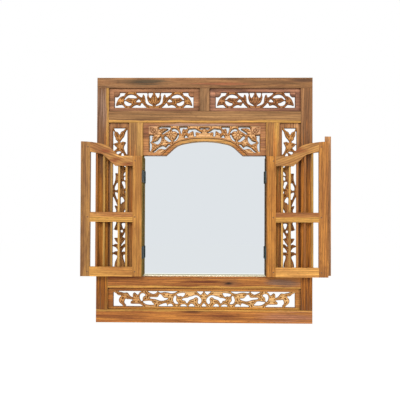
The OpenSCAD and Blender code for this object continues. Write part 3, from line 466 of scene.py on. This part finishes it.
# %% [markdown]
# ## Boards with soft edges
# No board in an old frame has a razor edge: a plane takes it off, and hands and wax do the rest. A
# merged copy of each solid gets a narrow bevel on its long outer edges, and the copy stands for
# the solid. Short edges are left alone, because they ring the holes for pegs and screws.

# %% Softened boards
edge_width = 0.9 * MM
shortest_edge = 4 * MM
flat_enough = math.radians(0.5)
sharp_enough = math.radians(40)


def merged_copy(name):
    """A bmesh of a node with its loose triangles joined into one skin."""
    mesh = bmesh.new()
    mesh.from_mesh(nodes[name].data)
    bmesh.ops.remove_doubles(mesh, verts=mesh.verts, dist=0.001 * MM)
    return mesh


def merge_flats(mesh):
    """Joins the triangles of each flat face."""
    bmesh.ops.dissolve_limit(mesh, angle_limit=flat_enough, verts=mesh.verts, edges=mesh.edges)


def round_edges(mesh, edges, width):
    """Bevels the edges in two steps, round enough at this size."""
    bmesh.ops.bevel(mesh, geom=edges, offset=width, offset_type="OFFSET", segments=2, profile=0.5,
                    affect="EDGES", clamp_overlap=True, material=-1)


def soften(mesh):
    """Rounds the long outer edges of a board."""
    merge_flats(mesh)
    outer = [edge for edge in mesh.edges if edge.is_manifold and edge.is_convex
             and edge.calc_length() > shortest_edge and edge.calc_face_angle() > sharp_enough]
    round_edges(mesh, outer, edge_width)


# %% [markdown]
# A finished mesh then takes the place of its node. It rides on the body that the node rides on, which
# the record of the frame knows.

# %% Taking a node's place
record = frame["record"]
body_of = {name: body for body, names in record["behaviour"]["bodies"].items() for name in names}


def stand_in(mesh, name, new_name, *materials):
    """Makes the mesh a piece that takes the place of a node, on the same body."""
    data = bpy.data.meshes.new(new_name)
    mesh.to_mesh(data)
    mesh.free()
    piece = bpy.data.objects.new(new_name, data)
    scene.collection.objects.link(piece)
    for material in materials:
        data.materials.append(material)
    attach(piece, body_of[name])
    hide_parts(name)
    return piece


def dress_board(name, material, other=None):
    """The node as a board with softened edges. other holds a second material and its side."""
    mesh = merged_copy(name)
    soften(mesh)
    if not other:
        return stand_in(mesh, name, name + "_board", material)
    second, side = other
    for face in mesh.faces:
        face.material_index = int(face.normal.dot(side) > 0.9)
    return stand_in(mesh, name, name + "_board", material, second)


for body, names in record["behaviour"]["bodies"].items():
    print(body, "carries", len(names), "nodes")

# %% [markdown]
# Each board of the frame gets a light and a dark tone. The tones are those of the old boards: the
# sill and the bottom rail are golden with brown hearts, and the jambs are the yellowest. The top rail
# and the upper stiles are greyer, a painted cool sheen of light from above. A flame is written as its
# colour, the place of its middle and its half width and half height. The paler flames on the stiles
# behind the open shutters are painted light that lifts their shade. A band of sapwood is written as
# its two edges and their axis, 0 for X or 2 for Z. The pale bands along the inner edges of the left
# stile, the transom rail, the sill and the bottom rail, the band on the right jamb's panel side, and
# the narrow pale flame on the left jamb are painted highlights where those edges catch the light. All
# are in millimetres, and a flame's height is over the foot of the frame.
#
# Some have a second tone on one side. The ledge of the sill is a painted highlight, pale where light
# falls on its top. The inner edges of the jambs and of the shutters' hinge stiles are painted shade,
# olive on the left and nearly black on the right.

# %% Boards of the frame
BOARDS = {
    # Painted sheen: the grey tones of the top rail stand for a cool light from above.
    "top_rail": dict(along="X", light="#a87749", dark="#815a36", heart="#6f4328", seed=1,
                     flames=[("#4c3a22", -200, 786, 95, 16), ("#5f4029", 320, 792, 60, 9),
                             ("#9a5c3a", 60, 780, 130, 7)]),
    "bottom_rail": dict(along="X", light="#cf863d", dark="#9f5e2e", heart="#80401f", seed=2,
                        # Painted highlight: the pale band along the top edge of this rail.
                        sap_and_lit_edges=[(foot_mm(37), foot_mm(44), 2)],
                        flames=[("#5e2f17", -30, 36, 70, 6), ("#7e4522", 60, 22, 90, 8),
                                ("#a86f4e", 285, 20, 150, 24)]),
    "left_stile": dict(along="Z", light="#9d6f45", dark="#7a5232", heart="#683f26", seed=3,
                       # Painted highlight: the pale band along the inner edge. Painted light: the
                       # pale flame at 330 lifts the shade behind the open shutter, and the grey flame
                       # at the top is a painted cool sheen.
                       sap_and_lit_edges=[(-323, -313, 0)],
                       flames=[("#7c4208", -335, 240, 60, 420), ("#b8772a", -332, 330, 70, 270),
                               ("#906e57", -336, 705, 22, 90)]),
    "right_stile": dict(along="Z", light="#a6764a", dark="#805634", heart="#6a4028", seed=4,
                        # Painted light: the pale flame at 330 lifts the shade behind the open
                        # shutter.
                        flames=[("#7c4208", 335, 240, 60, 420), ("#c27c2e", 332, 330, 70, 280)]),
    "transom_rail": dict(along="X", light="#ab7f50", dark="#865e37", heart="#704a2c", seed=5,
                         # Painted highlight: the pale band along the lower edge of this rail.
                         sap_and_lit_edges=[(foot_mm(652), foot_mm(660), 2)]),
    "sill_rail": dict(along="X", light="#cd873f", dark="#93562b", heart="#76391b", seed=6,
                      # Painted highlight: the pale band along the lower edge of this rail.
                      sap_and_lit_edges=[(foot_mm(112), foot_mm(119), 2)],
                      flames=[("#6a3219", 10, 134, 120, 7), ("#8a5a36", 85, 132, 50, 16),
                              ("#24150c", 80, 130, 19, 7), ("#84624c", 262, 131, 75, 20)]),
    "left_jamb": dict(along="Z", light="#b68549", dark="#9a6c3e", heart="#855733", seed=7,
                      hearts=0.4, sap_and_lit_edges=[(-203, -199, 0)],
                      # Painted highlight: the narrow pale flame at -213, along the edge.
                      flames=[("#aa6626", -223, 340, 40, 300), ("#bc8d4c", -213, 600, 16, 190)]),
    "right_jamb": dict(along="Z", light="#b98446", dark="#936436", heart="#7f502b", seed=8,
                       # Painted highlight: the band from 228 to 241, along the panel side of the
                       # jamb.
                       sap_and_lit_edges=[(228, 241, 0), (199, 203, 0)],
                       flames=[("#b8702c", 223, 340, 40, 300)]),
    "top_mullion": dict(along="Z", light="#a97b50", dark="#84603c", heart="#6e472e", seed=9),
    "backing_cleats": dict(along="Z", light="#a07447", dark="#7c5631", heart="#684526", seed=10),
}
# Painted highlight: the top of the sill's ledge is pale where the light falls on it.
lit_ledge_highlight = teak("lit_ledge_highlight", along="X", light="#f9e9bf", dark="#e8d09a", heart="#d6b87c",
                  seed=12, corner_grime_and_shade=0.0)
# Painted shade: the inner side faces of the jambs and hinge stiles, olive on the left and nearly
# black on the right.
olive_shaded_edge = teak("olive_shaded_edge", along="Z", light="#94803a", dark="#6d5c26", heart="#5f4d20",
                  seed=13, roughness=0.8, shine=0.05)
black_shaded_edge = teak("black_shaded_edge", along="Z", light="#5f4526", dark="#46311b", heart="#382616",
                  seed=14, roughness=0.8, shine=0.05)
to_the_right, to_the_left, upwards = Vector((1, 0, 0)), Vector((-1, 0, 0)), Vector((0, 0, 1))
SIDE_LIGHT_AND_SHADE = {
    "sill_rail": (lit_ledge_highlight, upwards),
    "left_jamb": (olive_shaded_edge, to_the_right),
    "right_jamb": (black_shaded_edge, to_the_left),
    "left_hinge_stile": (olive_shaded_edge, to_the_right),
    "right_hinge_stile": (black_shaded_edge, to_the_left),
}
for name, board in BOARDS.items():
    dress_board(name, teak(name, **board), SIDE_LIGHT_AND_SHADE.get(name))
print("boards of the frame:", len(BOARDS))

# %% [markdown]
# ## Shutters
# The shutters are made of younger, yellower teak than the frame, in shorter bands. The middle rails
# are paler along their lower half, and the left top rail carries a row of dark flames down its slope,
# with a pale flame near its top edge that is a painted highlight. The bars were sawn from offcuts,
# some golden and some brown.

# %% Boards of the shutters
mid_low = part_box("left_shutter_mid_rail")[0][2] / MM
mid_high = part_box("left_shutter_mid_rail")[1][2] / MM
mid_pale_half = [(mid_low - 1, (mid_low + mid_high) / 2, 2)]
top_slope = 20
SHUTTER_BOARDS = {
    "left_hinge_stile": dict(along="Z", light="#ce9348", dark="#a66f34", heart="#8c5628"),
    "left_meeting_stile": dict(along="Z", light="#ae7e45", dark="#8a5f38", heart="#744929"),
    "left_shutter_top_rail": dict(along="X", light="#c78f4d", dark="#9b6739", heart="#84502b",
                                  # Painted highlight: the last, pale flame of this list, near the top
                                  # edge of the rail.
                                  slope=-top_slope, flames=[("#8d4c24", -322, 556, 26, 9),
                                                            ("#8d4c24", -286, 530, 34, 13),
                                                            ("#8d4c24", -244, 516, 34, 9),
                                                            ("#e0a860", -258, 541, 46, 8)]),
    "left_shutter_mid_rail": dict(along="X", light="#cf9450", dark="#a26737", heart="#89502c",
                                  sap_and_lit_edges=mid_pale_half),
    "left_shutter_bottom_rail": dict(along="X", light="#e2a653", dark="#b87e3f", heart="#9f6431"),
    "right_hinge_stile": dict(along="Z", light="#ce8c3e", dark="#a76c2e", heart="#8f5624"),
    "right_meeting_stile": dict(along="Z", light="#cf8c41", dark="#a46a34", heart="#885127"),
    "right_shutter_top_rail": dict(along="X", light="#cb9450", dark="#9f6d3b", heart="#88552d",
                                   slope=top_slope, flames=[("#96572b", 300, 560, 40, 12)]),
    "right_shutter_mid_rail": dict(along="X", light="#cd904f", dark="#a06536", heart="#874e2b",
                                   sap_and_lit_edges=mid_pale_half),
    "right_shutter_bottom_rail": dict(along="X", light="#edaf5b", dark="#c48948", heart="#a86c36"),
}
GOLDEN_BAR = dict(along="Z", light="#e2b262", dark="#c08f4a", heart="#a87436")
BROWN_BAR = dict(along="Z", light="#bd8040", dark="#965c2b", heart="#7d4620")
MIDDLE_BAR = dict(along="Z", light="#bd9049", dark="#9c7137", heart="#875a2b")
BARS = {
    "left_bar_1": BROWN_BAR,
    "left_bar_2": MIDDLE_BAR,
    "left_bar_3": MIDDLE_BAR,
    "right_bar_1": MIDDLE_BAR,
    "right_bar_2": BROWN_BAR,
    "right_bar_3": BROWN_BAR,
}
for seed, (name, board) in enumerate(SHUTTER_BOARDS.items(), start=21):
    material = teak(name, seed=seed, bands=(150, 26), streaks=(0.78, 1.16), **board)
    dress_board(name, material, SIDE_LIGHT_AND_SHADE.get(name))
bar_names = [f"{side}_bar_{number}" for side in ("left", "right") for number in range(1, 6)]
for seed, name in enumerate(bar_names, start=31):
    dress_board(name, teak(name, seed=seed, rings=3.0, corner_grime_and_shade=0.5, **BARS.get(name, GOLDEN_BAR)))
ASTRAGAL = dict(along="Z", light="#d89e66", dark="#a8764a", heart="#8a5834", seed=45)
dress_board("right_shutter_astragal", teak("right_shutter_astragal", **ASTRAGAL))
print("boards of the shutters:", len(SHUTTER_BOARDS) + len(bar_names) + 1)

# %% [markdown]
# ## Carved panels
# A carver starts from a board with sawn openings. The field round them is sunk a little below the
# border, and what is left between the openings is leaves and stems. Every edge is rounded over with
# a gouge, each leaf gets a hollow along its middle, and slanted cuts beside the hollow are its veins.
#
# All three cuts follow the shape of the openings, so the openings can steer them here too. A merged
# copy of the panel gets a fine grid on its sunk field, and each grid point is pushed in by an amount
# that depends on two distances: from the nearest sawn edge, and from the middle of the leaf. A bump
# map could not do this, because the rounded edges show in the outline and catch the light.

# %% Sizes of the carving
field_sink = 2.5 * MM
cell = 1.3 * MM
rim_step = 0.6 * MM
edge_drop = 3.2 * MM
edge_round = 5.5 * MM
narrow_stem = 2.5 * MM
full_leaf = 5 * MM
widest_leaf = 9 * MM
hollow_depth = 2.6 * MM
vein_depth = 1.0 * MM
vein_pitch = 7.5 * MM
wax_and_shade_line = 2.0 * MM
vein_wax_and_shade = 0.8
VEIN_WAX_AND_SHADE = {"bottom_panel": 0.35}
level_slack = 0.1 * MM


# %% [markdown]
# The sunk field is found by its level. Cutting it into square cells is a job for the bisect operator:
# it halves the field again and again until every strip is one cell wide, first across its height and
# then across its width.

# %% A grid on the field
def sunk_field(mesh, level):
    """The faces that look forward and lie at the level of the field."""
    return [face for face in mesh.faces if face.normal.y < -0.99
            and abs(face.calc_center_median().y - level) < level_slack]


def strips(mesh, faces, axis, low, high):
    """Halves the faces across one axis until each strip is no wider than a cell."""
    cells = round((high - low) / cell)
    if cells < 2 or not faces:
        return faces
    middle = low + cells // 2 * cell
    point, normal = Vector(), Vector()
    point[axis] = middle
    normal[axis] = 1
    corners = {corner for face in faces for corner in face.verts}
    edges = {edge for face in faces for edge in face.edges}
    cut = bmesh.ops.bisect_plane(mesh, geom=[*corners, *edges, *faces], dist=0.01 * MM,
                                 plane_co=point, plane_no=normal)
    parts = [part for part in cut["geom"] if isinstance(part, bmesh.types.BMFace)]
    below = [part for part in parts if part.calc_center_median()[axis] < middle]
    above = [part for part in parts if part.calc_center_median()[axis] >= middle]
    return strips(mesh, below, axis, low, middle) + strips(mesh, above, axis, middle, high)


# %% [markdown]
# The rim is where the field meets the wall of an opening. Points are laid along it, each with the
# direction of the rim and its way round the opening, and a tree of these points answers which of
# them is nearest.

# %% The sawn rim
def rim_ways(faces, level):
    """Closed rings of rim corners, each with the wood on its left as seen from the front."""
    inside = set(faces)
    sides = []
    for face in faces:
        for corner in face.loops:
            other = [next_face for next_face in corner.edge.link_faces if next_face not in inside]
            if other and other[0].calc_center_median().y > level:
                sides.append((tuple(corner.vert.co), tuple(corner.link_loop_next.vert.co)))
    # Sorted, because the order of a mesh's faces is not the same in every run
    following = dict(sorted(sides))
    rings = []
    while following:
        ring = [next(iter(following))]
        while ring[-1] in following:
            ring.append(following.pop(ring[-1]))
        rings.append([Vector(corner) for corner in ring])
    return rings


def rim_tree(rings):
    """A search tree of points along the rings, and each point's direction and way round."""
    points = []
    for ring in rings:
        way = 0.0
        for start, end in zip(ring, ring[1:]):
            length = (end - start).length
            count = max(1, round(length / rim_step))
            for step in range(count):
                points.append((start.lerp(end, step / count), (end - start).normalized(),
                               way + length * step / count))
            way += length
    tree = kdtree.KDTree(len(points))
    for number, (place, _, _) in enumerate(points):
        tree.insert((place.x, 0, place.z), number)
    tree.balance()
    return tree, points


# %% [markdown]
# How deep the gouge goes at one place is worked out next. From the nearest rim a line runs straight
# across the leaf until the far rim is the nearer one, which gives half the width of the leaf. Narrow
# stems are only rounded. Leaves get the hollow and the veins, and the veins slant the way that the
# plant grows. The veins are darkened by wax and painted shade, less than half as much in the panel at
# the foot.

# %% Depth of the cut
probe_step = 1 * MM
clearly_nearer = 0.4 * MM


def half_width(tree, place, away, ahead):
    """Half the width of the leaf at a place, looking away from the nearest rim."""
    travelled = 0.0
    while away + travelled < widest_leaf:
        travelled += probe_step
        opposite = tree.find(place + ahead * travelled)[2]
        if opposite < away + travelled - clearly_nearer:
            return (away + travelled + opposite) / 2
    return widest_leaf


def smooth_step(value, low, high):
    """0 below low, 1 above high and a soft S between them."""
    share = min(max((value - low) / (high - low), 0.0), 1.0)
    return share * share * (3 - 2 * share)


def cut_depth(tree, points, place, growth, wax_and_shade_left):
    """Depth of the carving at a place of the field, and its shares of wax with painted shade and of
    crest with a painted highlight.
    """
    _, number, away = tree.find(place)
    _, along, way = points[number]
    ahead = Vector((-along.z, 0, along.x))
    half = max(half_width(tree, place, away, ahead), away, 0.5 * MM)
    reach = min(half, edge_round)
    edge = 1 - min(away, reach) / reach
    depth = edge_drop * (1 - math.sqrt(1 - edge * edge))
    # Dark wax and painted shade along the rims; the crests further in are rubbed and painted lighter
    # as a highlight.
    wax_and_shade = max(0.0, 1 - away / wax_and_shade_line)
    crest = smooth_step(away, 0.5 * wax_and_shade_line, 1.5 * wax_and_shade_line)
    if half < widest_leaf:
        middle = away / half
        leafy = smooth_step(half, narrow_stem, full_leaf)
        hollow = leafy * smooth_step(middle, 0.5, 1.0)
        side = 1 if along.dot(growth) > 0 else -1
        wave = max(0.0, math.cos(2 * math.pi * (side * way - away) / vein_pitch)) ** 2
        vein = leafy * wave * smooth_step(middle, 0.1, 0.4) * (1 - smooth_step(middle, 0.75, 1.0))
        depth += hollow_depth * hollow + vein_depth * vein
        wax_and_shade = max(wax_and_shade, 0.8 * hollow ** 3, wax_and_shade_left * vein)
        crest *= (1 - hollow) * (1 - vein)
    return depth, wax_and_shade, crest


# %% [markdown]
# A few marks don't follow an opening: the petals of the tulips, the rosettes over the arch and the
# leaves in its corners. The carver draws them with a parting tool, a small V. Each stroke is a line
# of two or more places, in millimetres from the middle of the panel, or in the arch panel from the
# middle of its foot. The upper corners of the two top panels were left plain and keep the tone of
# the border.

# %% Strokes of the parting tool
tool_wide = 1.7 * MM
tool_depth = 1.4 * MM
arch_foot = height(546)
# Sideways and up from the middle of a top panel
plain_from = (112 * MM, 12 * MM)


def both_ways(lines):
    """The lines and their mirror images."""
    return lines + [[(-x, z) for x, z in line] for line in lines]


def rays(x, z, near, far, count):
    """Straight lines that spread from x and z like the petals of a daisy."""
    turns = [2 * math.pi * number / count for number in range(count)]
    return [[(x + reach * math.cos(turn), z + reach * math.sin(turn)) for reach in (near, far)]
            for turn in turns]


TULIP = both_ways([[(6, 15), (9, 3), (5, -8), (1, -15)], [(15, 6), (12, -4), (6, -13)]])
TULIP += [[(0, 12), (0, -8)]]
ROSETTES = both_ways(rays(110, 68, 7, 21, 9) + [[(110 + 5 * math.cos(t), 68 + 5 * math.sin(t))
                                               for t in range(8)]])
CORNER_LEAVES = both_ways([
    [(153, 93), (153, 66)],
    [(157, 69), (158, 77), (162, 85), (169, 90), (179, 92)],
    [(157, 69), (166, 70), (173, 75), (178, 82), (179, 92)],
    [(157, 69), (175, 88)], [(163, 75), (162, 81)], [(163, 75), (169, 75)],
    [(168, 81), (168, 87)], [(168, 81), (174, 80)],
    [(132, 27), (142, 18), (154, 12)], [(127, 20), (136, 12), (143, 7)],
])
STROKES = {
    "upper_left_panel": TULIP,
    "upper_right_panel": TULIP,
    "arch_panel": ROSETTES + CORNER_LEAVES,
}


def panel_middle(name):
    """The place that a panel's strokes are measured from."""
    low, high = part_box(name)
    middle = Vector(((low[0] + high[0]) / 2, 0, (low[2] + high[2]) / 2))
    if name == "arch_panel":
        middle.z = arch_foot
    return middle


def stroke_tree(name, middle):
    """A search tree of points along the strokes of a panel. It is empty for most panels."""
    places = []
    for line in STROKES.get(name, []):
        ends = [middle + Vector((x, 0, z)) * MM for x, z in line]
        for start, end in zip(ends, ends[1:]):
            steps = math.ceil((end - start).length / (0.5 * MM))
            places += [start.lerp(end, step / steps) for step in range(steps + 1)]
    tree = kdtree.KDTree(len(places))
    for number, place in enumerate(places):
        tree.insert((place.x, 0, place.z), number)
    tree.balance()
    return tree


# %% [markdown]
# What the gouge did is also kept on the points, so that the colour can follow the carving: dark wax
# and painted shade lie in the hollows and along the rims, and the crests between them are rubbed to a
# lighter gold that is also a painted highlight.

# %% Preparing a panel
arris_width = 0.7 * MM
crease = math.radians(38)


def gridded_panel(name):
    """A merged copy of the panel, the cells of the grid on its field, and the rims of the field."""
    mesh = merged_copy(name)
    merge_flats(mesh)
    front = min(corner.co.y for corner in mesh.verts)
    arrises = [edge for edge in mesh.edges if edge.is_manifold and edge.is_convex
               and edge.calc_face_angle() > sharp_enough
               and all(corner.co.y < front + level_slack for corner in edge.verts)]
    round_edges(mesh, arrises, arris_width)
    level = front + field_sink
    flat = bmesh.ops.triangulate(mesh, faces=sunk_field(mesh, level))["faces"]
    rims = rim_ways(flat, level)
    corners = {corner for face in flat for corner in face.verts}
    low = [min(corner.co[axis] for corner in corners) for axis in range(3)]
    high = [max(corner.co[axis] for corner in corners) for axis in range(3)]
    field = strips(mesh, flat, 2, low[2], high[2])
    field = strips(mesh, field, 0, low[0], high[0])
    print(name, "rims:", len(rims), "cells:", len(field))
    return mesh, field, rims


# %% Carving a panel
def carve(name, grows):
    """The panel with the relief cut into its field."""
    mesh, field, rims = gridded_panel(name)
    tree, points = rim_tree(rims)
    middle = panel_middle(name)
    strokes = stroke_tree(name, middle)
    opened = mesh.verts.layers.float.new("carving")
    stain_and_shade = mesh.verts.layers.float.new("stain_and_shade")
    rubbed_and_lit = mesh.verts.layers.float.new("crest")
    for corner in {corner for face in field for corner in face.verts}:
        place = Vector((corner.co.x, 0, corner.co.z))
        depth, wax_and_shade, crest = cut_depth(tree, points, place, grows(place),
                                      VEIN_WAX_AND_SHADE.get(name, vein_wax_and_shade))
        stroke = strokes.find(place)[2] if name in STROKES else tool_wide
        groove = max(0.0, 1 - stroke / tool_wide)
        plain = (name.startswith("upper") and abs(place.x - middle.x) > plain_from[0]
                 and place.z - middle.z > plain_from[1])
        corner[opened] = 0.0 if plain else 1.0
        # The dark share is wax and painted shade, also in the grooves of the parting tool; the crest
        # share is rubbed wood and a painted highlight.
        corner[stain_and_shade] = max(wax_and_shade, groove)
        corner[rubbed_and_lit] = 0.0 if plain else crest * (1 - groove)
        corner.co.y += depth + tool_depth * groove
    for face in mesh.faces:
        face.smooth = True
    for edge in mesh.edges:
        edge.smooth = edge.is_manifold and edge.calc_face_angle() < crease
    return mesh


def upward(place):
    """The vine of a side panel climbs."""
    return Vector((0, 0, 1))


def outward(place):
    """The scrolls of a level panel spread from its middle."""
    return Vector((1 if place.x > 0 else -1, 0, 0.3))


# %% [markdown]
# The arch has a bead along its lower edge, with a groove above it. Hands have rubbed the bead to a
# golden tone and the groove is full of dark wax. The walls of the openings are painted pale, a
# painted light that lifts the shade inside them. All three are marked for a material of their own, by
# their depth and place.

# %% Bead and groove
bead_wide = 8.6 * MM
groove_deep = 1.5 * MM
# The crown of the arch, and half the width that the bead spans
arch_top = height(593)
arch_half = 145 * MM


def mark_arch(mesh):
    """Material 1 on the bead and under the arch, 2 in the groove over it, 3 on the sawn walls."""
    front = min(corner.co.y for corner in mesh.verts)
    for face in mesh.faces:
        depths = [corner.co.y - front for corner in face.verts]
        sideways = abs(face.normal.y) < 0.3
        highest = max(corner.co.z for corner in face.verts)
        if abs(max(depths) - groove_deep) < level_slack:
            face.material_index = 2
        elif (min(depths) < 1 * MM and highest < arch_top + bead_wide
              and abs(face.calc_center_median().x) < arch_half):
            face.material_index = 1
        elif min(depths) > field_sink + edge_drop / 2 and sideways:
            face.material_index = 3


# %% [markdown]
# The panels were cut from redder boards than the frame. The grain runs along each board, and it is
# seen only where the carving is broad enough. Panels also have shade patches, broad patches that
# multiply the colour darker: painted shade on the side panels behind the shutters and on the left of
# the foot, and darker patches at the ends of the arch. They are written as flames are. The pale band
# and flame along the lower border of the foot panel are a painted highlight.

# %% Panels
PANELS = {
    "upper_left_panel": dict(along="X", light="#b9825a", dark="#8f5f3d", heart="#7a4a31", seed=51,
                             carved=dict(field="#9c6128", wax_and_shade="#3e1f0e", rubbed_and_lit="#c68c4c")),
    "upper_right_panel": dict(along="X", light="#b07a5c", dark="#875a42", heart="#714535", seed=52,
                              carved=dict(field="#8c5426", wax_and_shade="#34190d", rubbed_and_lit="#b07848")),
    "left_side_panel": dict(along="Z", light="#b98250", dark="#8f5f38", heart="#7a4a2b", seed=53,
                            # Painted shade: the open shutter's shade on the lower part of this panel.
                            shade_patches=[("#eaeaf0", -300, 340, 100, 270)],
                            carved=dict(field="#a4682a", wax_and_shade="#43220f", rubbed_and_lit="#c68d4e")),
    "right_side_panel": dict(along="Z", light="#b98250", dark="#8f5f38", heart="#7a4a2b", seed=54,
                             flames=[("#c8935f", 301, 625, 20, 70)],
                             # Painted shade: the open shutter's shade on the lower part of this
                             # panel.
                             shade_patches=[("#e6d9d2", 300, 340, 100, 290)],
                             carved=dict(field="#b2742f", wax_and_shade="#47250f", rubbed_and_lit="#d59b58")),
    "arch_panel": dict(along="X", light="#c08550", dark="#986340", heart="#825033", seed=55,
                       corner_grime_and_shade=0.3, flames=[("#ab8a7a", 0, 643, 190, 9), ("#cf9a58", 0, 604, 70, 9)],
                       shade_patches=[("#e6e0ee", -178, 632, 42, 34), ("#e6e0ee", 178, 632, 42, 34)],
                       carved=dict(field="#bd7c3a", wax_and_shade="#4a280f", rubbed_and_lit="#e9b67e")),
    "bottom_panel": dict(along="X", light="#cc8a42", dark="#a06630", heart="#8a5127", seed=56,
                         # Painted highlight: the pale band and flame along the lower border. Painted
                         # shade: the shade patch on the left.
                         sap_and_lit_edges=[(foot_mm(43), foot_mm(50), 2)],
                         flames=[("#e29a3e", 0, 47, 420, 6)],
                         shade_patches=[("#dfcec2", -280, 78, 190, 90)],
                         carved=dict(field="#c1853e", wax_and_shade="#4a280f", rubbed_and_lit="#f0be7c")),
}
BEAD = dict(along="X", light="#dba65c", dark="#b98242", heart="#a06a35", seed=57, corner_grime_and_shade=0.3,
            flames=[("#b07038", -112, 562, 50, 36), ("#b07038", 112, 562, 50, 36)])
GROOVE = dict(along="X", light="#5a3519", dark="#45260f", heart="#3a1f0c", seed=58)
# Painted light: the walls of the openings are pale where shade would fall inside them.
LIT_SAWN_WALL = dict(along="Z", light="#fbe6c2", dark="#ecd0a2", heart="#dcb98a", seed=59, corner_grime_and_shade=0.0)
arch_materials = [teak("arch_bead", **BEAD), teak("arch_groove", **GROOVE),
                  teak("lit_sawn_wall", **LIT_SAWN_WALL)]
for name, board in PANELS.items():
    panel = carve(name, upward if "side" in name else outward)
    materials = [teak(name, **board)]
    if name == "arch_panel":
        mark_arch(panel)
        materials += arch_materials
    stand_in(panel, name, name + "_carving", *materials)


# %% [markdown]
# ## Glass, iron, zinc and pegs
# A mirror is glass with silver behind it: to the eye a perfect metal with the faint cold tint of
# four millimetres of glass. Along its foot lies a painted reflection of the sill's ledge in both
# faces
# of the glass: an olive line between two bright ones, all level. They are drawn by height over the
# sill, from the highest down, and each covers the glass below its top.

# %% Mirror
GLASS = "#dfe4e8"
# Painted reflections: three level lines at the foot of the glass, given by their tops over the sill.
PAINTED_FOOT_REFLECTIONS = ((8.2, "#fbfcf8"), (5.4, "#a3a17c"), (2.9, "#fbfcf8"))


def silvered_glass():
    """Silvered float glass: smooth as a polished metal, tinted a cold grey by the glass, with painted
    reflections along its foot.
    """
    material, tree = new_material("silvered_float_glass")
    coordinates = add(tree, "TexCoord").outputs["Object"]
    haze = add(tree, "TexNoise", {"Vector": coordinates, "Scale": 6.0, "Detail": 2.0})
    rough = add(tree, "MapRange", {"Value": haze.outputs["Fac"], "To Min": 0.0, "To Max": 0.03})
    up = add(tree, "SeparateXYZ", {0: coordinates}).outputs[2]
    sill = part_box("sill_rail")[1][2]
    tint = srgb(GLASS)
    for top, shade in PAINTED_FOOT_REFLECTIONS:
        below = add(tree, "Math", {0: up, 1: sill + top * MM}, operation="LESS_THAN")
        tint = add(tree, "Mix", {0: below.outputs[0], 6: tint, 7: srgb(shade)},
                   data_type="RGBA").outputs[2]
    silver = add(tree, "BsdfPrincipled", {"Base Color": tint, "Metallic": 1.0,
                                          "Roughness": rough.outputs[0]})
    add(tree, "OutputMaterial", {"Surface": silver.outputs[0]})
    return material


paint(nodes["mirror_glass"], silvered_glass())
glass_low, glass_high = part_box("mirror_glass")
print("glass in mm:", [round((b - a) / MM) for a, b in zip(glass_low, glass_high)])

# %% [markdown]
# The board behind the glass is thin plywood, because nobody sees it. It was never waxed, so it has no
# shine, and the grain of its outer ply runs upright.

# %% Backing board
def plywood():
    """Thin plywood, dry and unwaxed, with a faint upright grain."""
    material, tree = new_material("plain_plywood")
    space = grain_space(tree, "Z", 61)[1]
    grain = grain_spots(tree, space, 220, 5, 4.0, 0.4)
    colour = add(tree, "Mix", {0: grain, 6: srgb("#6f4f33"), 7: srgb("#a37e56")}, data_type="RGBA")
    bump = add(tree, "Bump", {"Height": grain, "Strength": 0.3, "Distance": 0.3 * MM})
    board = add(tree, "BsdfPrincipled", {"Base Color": colour.outputs[2], "Roughness": 0.8,
                                         "Normal": bump.outputs[0]})
    add(tree, "OutputMaterial", {"Surface": board.outputs[0]})
    return material


paint(nodes["mirror_backing"], plywood())


# %% [markdown]
# The butt hinges and their screws are iron that was blackened in oil: dark, part metal and part
# oxide, with small lighter stains where it is worn. The keyhole plates and their screws are zinc
# plated, a pale grey with broad cloudy patches.

# %% Metals
def metal(name, dark, light, metallic, rough, spot):
    """A metal that is a little uneven. spot is the size of its stains in millimetres."""
    material, tree = new_material(name)
    coordinates = add(tree, "TexCoord").outputs["Object"]
    stains = add(tree, "TexNoise", {"Vector": coordinates, "Scale": 1 / (spot * MM), "Detail": 4.0})
    colour = add(tree, "Mix", {0: stains.outputs["Fac"], 6: srgb(dark), 7: srgb(light)},
                 data_type="RGBA")
    bump = add(tree, "Bump", {"Height": stains.outputs["Fac"], "Strength": 0.3,
                              "Distance": 0.2 * MM})
    roughness = add(tree, "MapRange", {"Value": stains.outputs["Fac"], "To Min": rough + 0.15,
                                       "To Max": rough - 0.1})
    skin = add(tree, "BsdfPrincipled", {"Base Color": colour.outputs[2], "Metallic": metallic,
                                        "Roughness": roughness.outputs[0],
                                        "Normal": bump.outputs[0]})
    add(tree, "OutputMaterial", {"Surface": skin.outputs[0]})
    return material


black_iron = metal("blackened_iron", "#17191d", "#56605c", 0.75, 0.45, 4)
zinc = metal("zinc_plated_steel", "#8f9295", "#c3c5c7", 1.0, 0.35, 9)
hinge_parts = [name for name in nodes
               if "leaf" in name or "hinge_pin" in name or "hinge_screws" in name]
hanger_parts = [name for name in nodes if "hanger" in name]
for name in hinge_parts:
    paint(nodes[name], black_iron)
for name in hanger_parts:
    paint(nodes[name], zinc)
print("iron nodes:", len(hinge_parts), "zinc nodes:", len(hanger_parts))

# %% [markdown]
# The pegs lock the joints. They are dowels, so they show end grain, which drinks the wax and goes
# nearly black.

# %% Pegs
def peg_wood():
    """Dark end grain: a fine dense speckle, nearly black with wax."""
    material, tree = new_material("peg_end_grain")
    coordinates = add(tree, "TexCoord").outputs["Object"]
    # The pores of end grain are 0.2 mm wide on the real wood, drawn at about 1 mm
    speckle = add(tree, "TexNoise", {"Vector": coordinates, "Scale": 900.0, "Detail": 2.0})
    colour = add(tree, "Mix", {0: speckle.outputs["Fac"], 6: srgb("#3f2917"), 7: srgb("#7a5432")},
                 data_type="RGBA")
    wood = add(tree, "BsdfPrincipled", {"Base Color": colour.outputs[2], "Roughness": 0.6})
    add(tree, "OutputMaterial", {"Surface": wood.outputs[0]})
    return material


pegs = peg_wood()
for name in ("frame_pegs", "left_shutter_pegs", "right_shutter_pegs"):
    paint(nodes[name], pegs)
